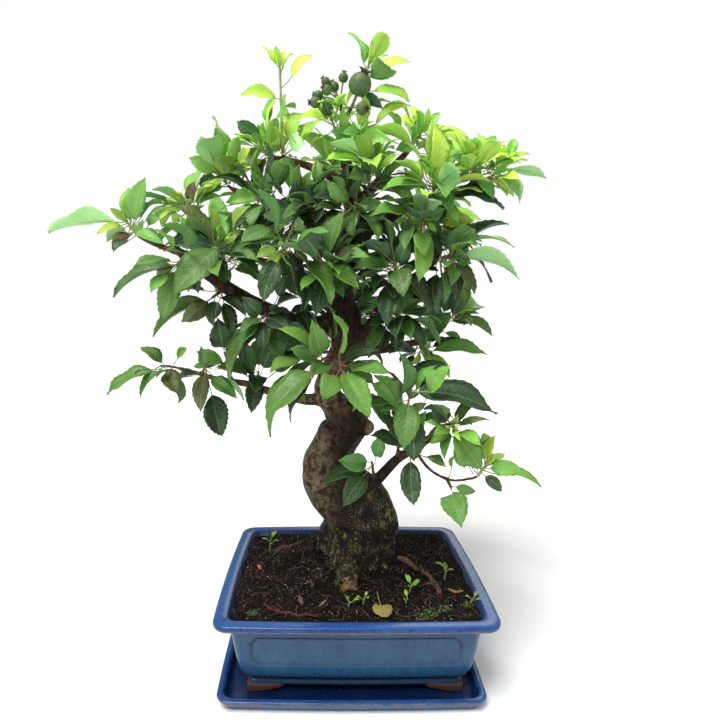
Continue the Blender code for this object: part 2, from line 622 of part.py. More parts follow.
def wood_solids(shoots):
    """The trunk first, then the roots, knob, branches, twigs and the fruit's spurs."""
    solids = [line_tube(TRUNK, 12, lobes=trunk_lobes)]
    solids += [line_tube(line, 6) for line in (*ROOTS.values(), KNOB)]
    solids += [line_tube(line, 5) for line in BRANCHES.values()]
    solids += [shoot.twig_solid for shoot in shoots.values()]
    start = Vector(TRUNK[-1][:3])
    for bunch in (FRUIT_LEFT, FRUIT_RIGHT):
        foot, hub = Vector(bunch["foot"]), Vector(bunch["hub"])
        places = (start, start.lerp(foot, 0.5), foot)
        solids.append(tube(places, SPUR_RADII, 5, (hub - foot).normalized()))
    return solids


class Thicket:
    """What already stands in the air, so that each new leaf is bent clear of it."""

    def __init__(self):
        self.pieces = []

    @staticmethod
    def tree(solid):
        points, faces = solid
        low = [min(p[axis] for p in points) for axis in range(3)]
        high = [max(p[axis] for p in points) for axis in range(3)]
        return low, high, BVHTree.FromPolygons(points, faces)

    def add(self, owner, solid):
        self.pieces.append((owner, *self.tree(solid)))

    def clear(self, owner, solid):
        """Whether a solid crosses nothing but its owner's own pieces."""
        low, high, tree = self.tree(solid)
        for other, other_low, other_high, other_tree in self.pieces:
            if other == owner:
                continue
            if any(low[i] > other_high[i] or high[i] < other_low[i] for i in range(3)):
                continue
            if tree.overlap(other_tree):
                return False
        return True


def face_for(chord, base, share, tone):
    """The upper side's direction that shows the given share of the width from the front."""
    view = (FRONT_VIEW - base).normalized()
    across = chord.cross(view).normalized()
    deep = across.cross(chord)
    shown = -1 if tone == PALE else 1
    faces = []
    for turn in (1, -1):
        side = across * share + deep * turn * math.sqrt(1 - share * share)
        faces += [side.cross(chord).normalized(), chord.cross(side).normalized()]
    return max(faces, key=lambda face: face.z + 0.8 * shown * face.dot(view))


def placed_leaf(shoot, rank, row, draw, tries):
    """A leaf placed by hand, whose tip is moved a little further at each try."""
    x, y, z, length, width, tone = row
    drift = Vector((draw.uniform(-0.5, 0.5), draw.uniform(-1, 1), draw.uniform(-0.5, 0.5)))
    tip = Vector((x, y, z)) + drift * min(DRIFT * tries, MOST_DRIFT)
    foot = shoot.foot.lerp(shoot.end, rank)
    chord = (tip - foot).normalized()
    length = min(length, (tip - foot).length - SHORTEST_STALK) * (1 - 0.003 * tries)
    base = tip - chord * length
    full = max(width, WIDTH_SHARE * length)
    share = min(1, max(0.45, width / full + draw.uniform(-0.01, 0.01) * tries))
    return Leaf(foot, base, chord, face_for(chord, base, share, tone), length, full, tone)


def ruled_leaf(shoot, rank, number, draw):
    """A leaf by the golden angle round its shoot, leaning out and a little down."""
    way = shoot.way
    side = way.orthogonal().normalized()
    angle = GOLDEN * number + draw.uniform(-0.5, 0.5)
    out = side * math.cos(angle) + way.cross(side) * math.sin(angle)
    pitch = math.radians(draw.uniform(35, 80))
    lean = UP * draw.uniform(-0.25, 0.15)
    chord = (way * math.cos(pitch) + out * math.sin(pitch) + lean).normalized()
    length = draw.uniform(*RULED_LENGTH)
    foot = shoot.foot.lerp(shoot.end, rank)
    base = foot + chord * draw.uniform(*RULED_STALK)
    up = UP + Vector((draw.uniform(-0.5, 0.5), draw.uniform(-0.8, 0.2), 0))
    face = (up - chord * up.dot(chord)).normalized()
    tone = draw.choice((DARK, DARK, MID, MID, BRIGHT))
    return Leaf(foot, base, chord, face, length, length * draw.uniform(*RULED_SHARE), tone)


class Tree:
    """Every shoot and leaf by its spray's name, each leaf settled clear of the rest."""

    def __init__(self):
        self.draw = random.Random(SHOOT_SEED)
        self.shoots = {spray.name: plan_shoot(spray.foot, spray.end) for spray in SPRAYS}
        self.leaves = {name: [] for name in self.shoots}
        self.blades = {name: Thicket() for name in self.shoots}
        self.thicket = Thicket()
        for solid in wood_solids(self.shoots):
            self.thicket.add("wood", solid)
        for bunch in (FRUIT_LEFT, FRUIT_RIGHT):
            for solid in fruit_solids(bunch):
                self.thicket.add("fruit", solid)
        for name, shoot in self.shoots.items():
            self.thicket.add(name, shoot.solid)

    def settle(self, name, make):
        """The first of the leaves that make gives which crosses nothing, if there is one."""
        for tries in range(MOST_TRIES):
            leaf = make(tries)
            wide = leaf_solid(leaf, LEAF_CLEAR)
            if leaf.lowest < LOWEST_LEAF or not self.blades[name].clear(None, blade_only(wide)):
                continue
            if self.thicket.clear(name, wide):
                solid = leaf_solid(leaf)
                self.thicket.add(name, solid)
                self.blades[name].add("blade", blade_only(solid))
                self.leaves[name].append(leaf)
                return

    def grow(self):
        """The leaves placed by hand on every spray, then those left to the rule."""
        for spray in SPRAYS:
            shoot = self.shoots[spray.name]
            for k, row in enumerate(spray.leaves):
                rank = 0.97 - 0.8 * k / len(spray.leaves)
                self.settle(spray.name, lambda tries: placed_leaf(shoot, rank, row, self.draw, tries))
        for spray in SPRAYS:
            shoot = self.shoots[spray.name]
            for k in range(spray.more):
                rank = 0.9 - 0.7 * k / spray.more
                self.settle(spray.name, lambda tries: ruled_leaf(shoot, rank, k, self.draw))


def material(name, colour, roughness, metallic=0.0):
    made = bpy.data.materials.new(name)
    made.use_nodes = True
    shader = made.node_tree.nodes["Principled BSDF"]
    shader.inputs["Base Color"].default_value = (*colour, 1)
    shader.inputs["Roughness"].default_value = roughness
    shader.inputs["Metallic"].default_value = metallic
    return made


def add_object(name, solid, finish=None):
    """An object from points in millimetres, its faces turned to point out."""
    points, faces = solid
    mesh = bpy.data.meshes.new(name)
    mesh.from_pydata([Vector(p) * MM for p in points], [], faces)
    work = bmesh.new()
    work.from_mesh(mesh)
    bmesh.ops.recalc_face_normals(work, faces=work.faces)
    work.to_mesh(mesh)
    work.free()
    if finish:
        mesh.materials.append(finish)
    made = bpy.data.objects.new(name, mesh)
    bpy.context.scene.collection.objects.link(made)
    return made


def combine(target, operation, solids):
    """One Boolean of a collection of solids on the target, applied, with the solids then removed."""
    tools = bpy.data.collections.new(target.name + "_tools")
    bpy.context.scene.collection.children.link(tools)
    for number, solid in enumerate(solids):
        tool = add_object(f"{target.name}_tool_{number}", solid)
        bpy.context.scene.collection.objects.unlink(tool)
        tools.objects.link(tool)
    step = target.modifiers.new(operation.title(), "BOOLEAN")
    step.operation = operation
    step.operand_type = "COLLECTION"
    step.collection = tools
    step.solver = "EXACT"
    shown = target.evaluated_get(bpy.context.evaluated_depsgraph_get())
    target.data = bpy.data.meshes.new_from_object(shown)
    target.modifiers.clear()
    for tool in list(tools.objects):
        bpy.data.objects.remove(tool)
    bpy.data.collections.remove(tools)


def fused(name, solids, finish):
    """One body from several solids that meet."""
    made = add_object(name, solids[0], finish)
    combine(made, "UNION", solids[1:])
    return made


def smooth(made, angle):
    made.data.shade_smooth()
    made.data.set_sharp_from_angle(angle=math.radians(angle))


def rounded_ring(size, inset, corner, height, centre=(0, 0)):
    """Twenty points round a rectangle with arcs at its corners and its sides bowed outward."""
    half_x, half_y = size[0] / 2 - inset, size[1] / 2 - inset
    radius = max(corner - 0.4 * inset, 7)
    bow = POT_BOW * 8 / 9
    outline = []
    for number, (sx, sy) in enumerate(((1, 1), (-1, 1), (-1, -1), (1, -1))):
        for step in range(3):
            angle = math.radians(90 * number + 45 * step)
            x = sx * (half_x - radius) + radius * math.cos(angle)
            y = sy * (half_y - radius) + radius * math.sin(angle)
            outline.append((x, y))
        for share in (1 / 3, -1 / 3):
            if number % 2 == 0:
                outline.append((sx * half_x * share, sy * (half_y + bow)))
            else:
                outline.append((sx * (half_x + bow), sy * half_y * share))
    return [Vector((x + centre[0], y + centre[1], height)) for x, y in outline]


def lofted(rings):
    """A closed solid through rings of equal counts of points."""
    verts = [point for ring in rings for point in ring]
    return verts, sleeve(len(rings), len(rings[0]))


def prism(outline, low, high):
    return lofted([[Vector((x, y, z)) for x, y in outline] for z in (low, high)])


def disc_outline(centre, radius, sides):
    turns = [2 * math.pi * k / sides for k in range(sides)]
    return [(centre[0] + radius * math.cos(a), centre[1] + radius * math.sin(a)) for a in turns]


def square_outline(centre, half):
    corners = ((1, 1), (-1, 1), (-1, -1), (1, -1))
    return [(centre[0] + sx * half, centre[1] + sy * half) for sx, sy in corners]


def wall_reach(along, height, side_half, out_half):
    """How far out the pot's wall stands at a place along one side."""
    (low_inset, low), (high_inset, high) = (POT_ROWS[row] for row in POT_WALL)
    inset = low_inset + (high_inset - low_inset) * (height - low) / (high - low)
    return out_half - inset + POT_BOW * (1 - (along / side_half) ** 2)


def panel_cutter(across, out, sign):
    """A bowed slab with chamfered corners that sinks one panel into a side of the pot."""
    side_half, out_half = POT_SIZE[across] / 2, POT_SIZE[out] / 2
    low, high = PANEL_HEIGHT
    reach = side_half - PANEL_MARGIN
    full = reach - PANEL_CHAMFER
    rings = []
    for along in (-reach, -full, -reach / 3, reach / 3, full, reach):
        trim = max(abs(along) - full, 0)
        ring = []
        for height, deep in ((low + trim, 1), (high - trim, 1), (high - trim, 0), (low + trim, 0)):
            edge = wall_reach(along, height, side_half, out_half)
            point = Vector((0, 0, height))
            point[across] = along
            point[out] = sign * (edge - PANEL_DEPTH if deep else edge + 4)
            ring.append(point)
        rings.append(ring)
    return lofted(rings)


def build_pot():
    """The glazed pot: lofted body and rim, four cloud feet, sunk panels and drain holes."""
    rings = [rounded_ring(POT_SIZE, inset, POT_CORNER, height) for inset, height in POT_ROWS]
    pot = add_object("pot", lofted(rings), material("cobalt_glaze", (0.07, 0.14, 0.32), 0.22))
    corner_x, corner_y = (side / 2 - FOOT_INSET for side in POT_SIZE)
    feet = []
    for sx, sy in ((1, 1), (-1, 1), (-1, -1), (1, -1)):
        outline = [(sx * (corner_x - x), sy * (corner_y - y)) for x, y in FOOT_OUTLINE]
        feet.append(prism(outline, *FOOT_HEIGHT))
    combine(pot, "UNION", feet)
    cutters = [panel_cutter(a, o, sign) for a, o in ((0, 1), (1, 0)) for sign in (1, -1)]
    for place in DRAIN_PLACES:
        cutters.append(prism(disc_outline(place, DRAIN_RADIUS, 10), POT_FLOOR - 9, POT_FLOOR + 3))
    combine(pot, "DIFFERENCE", cutters)
    smooth(pot, 35)


def build_saucer():
    rings = [
        rounded_ring(SAUCER_SIZE, inset, SAUCER_CORNER, height, SAUCER_CENTRE)
        for inset, height in SAUCER_ROWS
    ]
    saucer = add_object("saucer", lofted(rings), material("saucer_glaze", (0.05, 0.11, 0.28), 0.22))
    smooth(saucer, 35)


def build_drain_meshes():
    """A plastic mesh over each drain hole, under the soil."""
    plastic = material("mesh_plastic", (0.05, 0.05, 0.05), 0.6)
    low = POT_FLOOR + GAP
    for name, place in zip(("drain_mesh_left", "drain_mesh_right"), DRAIN_PLACES):
        sheet = square_outline(place, MESH_SIZE / 2)
        plate = add_object(name, prism(sheet, low, low + MESH_THICK), plastic)
        holes = []
        for column in (-0.5, 0.5):
            for row in (-0.5, 0.5):
                centre = (place[0] + column * MESH_PITCH, place[1] + row * MESH_PITCH)
                holes.append(prism(square_outline(centre, MESH_HOLE / 2), low - 1, low + 3))
        combine(plate, "DIFFERENCE", holes)


def soil_height(x, y):
    """The soil's top: level at the pot's wall, raised round the trunk, with low lumps."""
    away = math.hypot(x - SOIL_CENTRE[0], y - SOIL_CENTRE[1])
    rise = SOIL_RISE * math.exp(-((away / SOIL_SPREAD) ** 2))
    lumps = 0.8 * math.sin(x * 0.11 + 1) * math.sin(y * 0.13)
    return SOIL_EDGE + rise + (lumps + 0.5 * math.sin(x * 0.23 - y * 0.19)) * min(1, away / 60)


def soil_rings():
    """The soil from the pot's floor up its wall, then in over its top towards the trunk."""
    rings = [rounded_ring(POT_SIZE, inset, POT_CORNER, height) for inset, height in SOIL_ROWS]
    edge = rings[-1]
    for share in SOIL_SHARES:
        ring = []
        for point in edge:
            x = SOIL_CENTRE[0] + (point.x - SOIL_CENTRE[0]) * share
            y = SOIL_CENTRE[1] + (point.y - SOIL_CENTRE[1]) * share
            ring.append(Vector((x, y, soil_height(x, y))))
        rings.append(ring)
    return rings


def build_soil():
    """The soil in the pot, hollowed for the tree's foot, the meshes and the seedlings' stems."""
    soil = add_object("soil", lofted(soil_rings()), material("soil", (0.03, 0.022, 0.016), 0.95))
    hollows = [line_tube(TRUNK[:5], 12, SOCKET, trunk_lobes)]
    hollows += [line_tube(line, 6, SOCKET) for line in ROOTS.values()]
    for place in DRAIN_PLACES:
        sheet = square_outline(place, MESH_SIZE / 2 + GAP)
        hollows.append(prism(sheet, POT_FLOOR, POT_FLOOR + MESH_THICK + 2 * GAP))
    for x, y, _, _ in SEEDLINGS:
        hole = disc_outline((x, y), SEEDLING_RADIUS + GAP, 6)
        hollows.append(prism(hole, soil_height(x, y) - SEEDLING_DEEP - GAP, SOIL_EDGE + 20))
    combine(soil, "DIFFERENCE", hollows)
    smooth(soil, 40)


def build_tree(tree):
    """The wood as one body, and each spray's stem with its leaves fused in."""
    bark = material("bark", (0.13, 0.075, 0.055), 0.85)
    smooth(fused("tree_wood", wood_solids(tree.shoots), bark), 50)
    for name, shoot in tree.shoots.items():
        leaves = tree.leaves[name]
        colour = [sum(leaf.tone[i] for leaf in leaves) / len(leaves) for i in range(3)]
        solids = [shoot.solid] + [leaf_solid(leaf) for leaf in leaves]
        fused(f"spray_{name}", solids, material(f"leaf_{name}", colour, 0.5))


def build_fruit():
    """Small apples on long stalks from one short spur in each bunch."""
    skin = material("apple_skin", (0.05, 0.13, 0.035), 0.4)
    for name, bunch in (("apples_left", FRUIT_LEFT), ("apples_right", FRUIT_RIGHT)):
        smooth(fused(name, fruit_solids(bunch), skin), 50)


def build_seedlings():
    """Weed seedlings, each standing in a plain hole in the soil."""
    green = material("seedling_green", LIME, 0.5)
    for number, (x, y, height, count) in enumerate(SEEDLINGS, 1):
        ground = soil_height(x, y)
        middle = Vector((x, y, ground + 2))
        top = Vector((x + 1.5, y - 1, ground + height))
        places = (Vector((x, y, ground - SEEDLING_DEEP)), middle, top)
        solids = [tube(places, (SEEDLING_RADIUS, SEEDLING_RADIUS, 0.9), 5)]
        for k in range(count):
            turn = GOLDEN * k + number
            chord = Vector((math.cos(turn), math.sin(turn), 0.55)).normalized()
            face = (UP - chord * chord.z).normalized()
            foot = middle.lerp(top, 0.86 - 0.2 * k)
            length = SEEDLING_LEAF - 2 * (k % 2)
            leaf = Leaf(foot, foot + chord * 3, chord, face, length, length * 0.55, LIME)
            solids.append(leaf_solid(leaf))
        fused(f"seedling_{number}", solids, green)


def build_fallen():
    """A yellow leaf and a bare twig that lie on the soil."""
    x, y = FALLEN_LEAF
    ground = max(soil_height(x + dx, y + dy) for dx in (-9, 0, 9) for dy in (-9, 0, 14))
    length, width = FALLEN_SIZE
    base = Vector((x, y + 9, ground + STALK_RADIUS))
    foot = base + Vector((0, length, 0.6))
    leaf = Leaf(foot, base, Vector((0, -1, 0)), UP, length, width, LIME)
    add_object("fallen_leaf", leaf_solid(leaf), material("yellow_leaf", (0.5, 0.4, 0.08), 0.6))
    places = [Vector((x, y, soil_height(x, y) + 2.2)) for x, y in FALLEN_TWIG]
    twig = tube(places, (1.3, 1.5, 1.1), 6)
    add_object("fallen_twig", twig, material("red_twig", (0.16, 0.06, 0.045), 0.7))


def main():
    for old in list(bpy.data.objects):
        bpy.data.objects.remove(old)
    tree = Tree()
    tree.grow()
    build_pot()
    build_saucer()
    build_drain_meshes()
    build_soil()
    build_tree(tree)
    build_fruit()
    build_seedlings()
    build_fallen()


main()
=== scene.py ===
"""Looks of an apple bonsai in its glazed pot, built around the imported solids.

Everything ends in metres, in the frame of the solids: +Z up, +X to the right, -Y to the front.
The plan of the tree is in millimetres, and the fine leaves grow by the rule that set the solids.
"""

import logging
import math
import random
from dataclasses import dataclass, field
from enum import Enum
from functools import partial
from typing import Callable, Iterable, Sequence

import bmesh
import bpy
import numpy as np
from bmesh.types import BMEdge, BMesh, BMVert
from bpy.types import ID, Material, Mesh, Node, NodeSocket, Object, World
from mathutils import Matrix, Vector, noise
from mathutils.bvhtree import BVHTree


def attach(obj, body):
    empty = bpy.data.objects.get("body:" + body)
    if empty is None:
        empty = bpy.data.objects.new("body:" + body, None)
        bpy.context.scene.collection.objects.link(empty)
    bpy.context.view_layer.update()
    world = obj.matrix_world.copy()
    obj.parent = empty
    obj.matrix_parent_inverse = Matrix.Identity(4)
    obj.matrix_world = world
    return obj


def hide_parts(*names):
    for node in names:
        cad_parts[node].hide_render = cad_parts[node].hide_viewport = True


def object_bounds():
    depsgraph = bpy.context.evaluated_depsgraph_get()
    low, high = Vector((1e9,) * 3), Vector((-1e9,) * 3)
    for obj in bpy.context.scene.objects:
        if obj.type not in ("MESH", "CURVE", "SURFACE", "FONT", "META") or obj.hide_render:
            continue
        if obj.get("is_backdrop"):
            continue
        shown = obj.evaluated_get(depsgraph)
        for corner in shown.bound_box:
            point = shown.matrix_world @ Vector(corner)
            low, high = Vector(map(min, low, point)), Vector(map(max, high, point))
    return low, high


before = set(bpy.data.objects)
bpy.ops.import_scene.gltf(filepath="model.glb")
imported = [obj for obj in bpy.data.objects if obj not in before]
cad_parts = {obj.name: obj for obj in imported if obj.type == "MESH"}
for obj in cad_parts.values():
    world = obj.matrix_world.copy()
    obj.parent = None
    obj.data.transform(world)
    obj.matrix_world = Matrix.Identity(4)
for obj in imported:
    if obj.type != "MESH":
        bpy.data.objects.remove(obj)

log = logging.getLogger("bonsai")

MM = 0.001
GAP = 0.3
ROOT = "root"
FULL_TURN = 2 * math.pi
ANY_TURN = (0, 6.3)
Solid = tuple[list[Vector], list[tuple[int, ...]]]
Colour = tuple[float, float, float]
Line = Sequence[Sequence[float]]
Value = NodeSocket | float | Colour
Lobes = Callable[[Vector, float], float]

# Pot: rim 260 x 200, rows of (inset from the rim's edge, height) from the underside to the floor
POT_SIZE = (260, 200)
POT_CORNER = 15
POT_BOW = 2
POT_FLOOR = 16
POT_ROWS = (
    (33, 10), (29.5, 10), (28, 12), (28, 14), (29.5, 16), (27.5, 18.5), (24, 22), (19.5, 34),
    (13.5, 78), (12, 79.2), (1.5, 80.5), (0, 82.5), (0, 85.5), (1.5, 87.6), (11.5, 87),
    (14, 83), (20.5, 77), (25.5, 36), (33, 18), (37, 16),
)
PANEL_DEPTH = 1.0
PANEL_HEIGHT = (38, 67)
PANEL_CHAMFER = 6
PANEL_MARGIN = 34
FOOT_HEIGHT = (3.3, 11)
FOOT_INSET = 27
FOOT_OUTLINE = ((2, 0), (38, 0), (34, 7), (17, 11), (11, 17), (7, 34), (0, 38), (0, 2))
DRAIN_RADIUS = 10
DRAIN_PLACES = ((-58, 0), (58, 0))

# Saucer: rim 250 x 192
SAUCER_SIZE = (250, 192)
SAUCER_CENTRE = (-4, 0)
SAUCER_CORNER = 13
SAUCER_ROWS = ((6, 0), (1, 8.5), (0, 10.5), (1, 12), (6, 12), (9.5, 4.5), (12, 3))

# Soil: fills the pot to 5 below the rim and rises to the foot of the trunk
SOIL_EDGE = 83
SOIL_RISE = 11
SOIL_SPREAD = 52
SOIL_CENTRE = (6, 22)
SOIL_ROWS = ((37.4, 16.3), (33.4, 18.3), (25.9, 36), (20.9, 77), (14.7, 82.8))
SEEDLING_DEEP = 4

# Trunk and roots: points of (x, y, z, radius), each line from its thick end to its thin end
TRUNK = (
    (6, 22, 50, 38), (6, 22, 74, 44), (6, 22, 92, 45), (7, 20, 120, 40), (11, 18, 137, 37),
    (1, 14, 156, 36), (-14, 12, 170, 32), (-23, 12, 187, 28), (-24, 14, 201, 26),
    (-15, 16, 215, 28), (-7, 16, 232, 28), (-5, 15, 245, 24), (-15, 13, 258, 17),
    (-24, 12, 271, 14), (-25, 12, 286, 13.5), (-17, 14, 303, 13), (-7, 16, 327, 14),
    (-10, 17, 353, 19), (-12, 16, 371, 15), (-12, 16, 388, 13), (-1, 20, 427, 11.5),
    (3, 20, 447, 11), (3, 18, 466, 9.5), (-3, 14, 485, 7.5), (-8, 10, 508, 5.5), (-11, 6, 543, 3.2),
)
ROOTS = {
    "left": ((-5, 20, 88, 22), (-38, 16, 90, 15), (-66, 10, 86, 9), (-88, 2, 80, 4)),
    "front_left": ((-5, 5, 88, 20), (-28, -18, 88, 12), (-48, -36, 82, 5)),
    "stump": ((2, 2, 88, 20), (-4, -22, 92, 13), (-7, -39, 94, 11)),
    "right": ((20, 20, 88, 22), (48, 18, 88, 12), (72, 10, 82, 5)),
    "right_front": ((20, 4, 86, 20), (40, -14, 87, 11), (56, -32, 81, 4)),
    "right_surface": ((44, 22, 88, 6), (60, 20, 88, 4), (76, -9, 86.5, 3.2), (84, -34, 85, 3),
                      (83, -49, 83, 2.4)),
    "back_left": ((-8, 34, 86, 18), (-32, 56, 84, 8), (-46, 68, 80, 4)),
    "back_right": ((18, 36, 86, 18), (38, 58, 84, 8), (50, 72, 80, 4)),
}
KNOB = ((8, 16, 240, 9), (12, 4, 241, 7.5), (13, -6, 241, 6))
BRANCHES = {
    "left": ((-10, 15, 350, 11), (-43, 2, 346, 9), (-68, -8, 354, 8), (-93, -16, 366, 7.5),
             (-114, -22, 378, 7), (-132, -28, 391, 6), (-147, -32, 401, 4.5),
             (-160, -34, 413, 3.2), (-184, -28, 422, 2.6), (-200, -23, 429, 2.2)),
    "left_rise": ((-126, -25, 387, 5), (-137, -6, 408, 4), (-155, 14, 433, 3.2),
                  (-166, 29, 454, 2.6)),
    "upper_left": ((1, 20, 440, 8), (-23, 20, 453, 6.5), (-48, 26, 463, 5.5), (-75, 33, 470, 4.5),
                   (-107, 38, 479, 3.6), (-126, 40, 486, 2.8)),
    "top_left": ((-4, 14, 484, 6), (-32, 24, 500, 4.5), (-58, 36, 512, 3.6), (-84, 48, 520, 2.8)),
    "upper_right": ((-2, 15, 326, 9), (14, 10, 338, 8), (25, 5, 355, 7), (32, 0, 373, 6.5),
                    (43, -8, 393, 5.5), (58, -16, 406, 4.5), (74, -21, 410, 3.4)),
    "right_top": ((3, 18, 436, 8), (26, 10, 446, 6.5), (49, 0, 460, 5.2), (71, -12, 466, 4.2),
                  (95, -16, 473, 3.4), (115, -18, 481, 2.6)),
    "top_right": ((3, 18, 465, 6), (26, 28, 491, 4.8), (47, 38, 513, 3.8), (58, 44, 525, 3)),
    "right_back": ((-2, 20, 317, 7), (36, 42, 318, 5.5), (73, 56, 324, 4.2), (98, 63, 334, 3)),
    "low_right": ((6, 0, 172, 9), (23, -18, 191, 7.5), (41, -34, 218, 6), (60, -44, 234, 5),
                  (75, -50, 249, 4), (86, -50, 257, 2.8)),
    "low_right_tip": ((56, -42, 231, 3.5), (71, -46, 212, 3), (91, -50, 203, 2.6),
                      (111, -50, 205, 2.2)),
    "low_left": ((-23, 12, 269, 8), (-49, 12, 268, 6), (-88, 16, 276, 4.5), (-111, 20, 283, 3.8),
                 (-138, 25, 286, 3.2), (-162, 29, 292, 2.6), (-186, 32, 298, 2.1)),
    "front": ((-7, 10, 332, 6), (-14, -22, 325, 4.5), (-20, -46, 318, 3)),
    "centre": ((-11, 10, 385, 6), (-18, -20, 393, 4.2), (-24, -40, 397, 3)),
    "back_left": ((-12, 25, 377, 8), (-43, 60, 395, 6), (-88, 92, 412, 4.5), (-128, 112, 421, 3)),
    "back_right": ((-7, 25, 402, 8), (28, 62, 418, 6), (72, 92, 428, 4.5), (110, 110, 429, 3)),
    "back_top": ((0, 26, 432, 7), (-1, 62, 463, 5.5), (-7, 92, 489, 4), (-12, 112, 506, 3)),
    "back_low": ((-24, 22, 280, 7), (-18, 52, 298, 5), (-11, 80, 315, 4), (-5, 98, 331, 3)),
}

# Leaf tones: the darker ones stand partly for painted shade, the brighter ones partly for painted light
DARK = (0.018, 0.058, 0.022)
MID = (0.078, 0.205, 0.043)
BRIGHT = (0.150, 0.370, 0.066)
LIME = (0.330, 0.560, 0.080)
PALE = (0.340, 0.620, 0.300)
OLIVE = (0.095, 0.130, 0.038)
# Leaves deep in the crown draw the darker tones and those out and high the brighter ones, partly as painted
# shade and painted light.
INNER = (DARK, DARK, DARK, MID, MID)
MIDDLE = (DARK, MID, MID, BRIGHT, BRIGHT)
OUTER = (BRIGHT, BRIGHT, LIME, LIME, LIME)
DRY = (0.110, 0.055, 0.025)
WEED = (0.165, 0.300, 0.045)


def clamped(value: float) -> float:
    """A value, brought between nought and one."""
    return min(1.0, max(0.0, value))


@dataclass(frozen=True)
class Spray:
    """A leafy shoot: foot and end, leaves left to the rule, and listed leaves.

    A listed leaf is (tip x, y, z, blade length, width seen from the front, tone).
    """

    name: str
    foot: tuple
    end: tuple
    more: int
    leaves: tuple


@dataclass(frozen=True)
class Bunch:
    """Fruit: its spur's foot on the wood, the hub of its stalks, and (x, y, z, radius) of each."""

    name: str
    foot: tuple
    hub: tuple
    fruit: tuple


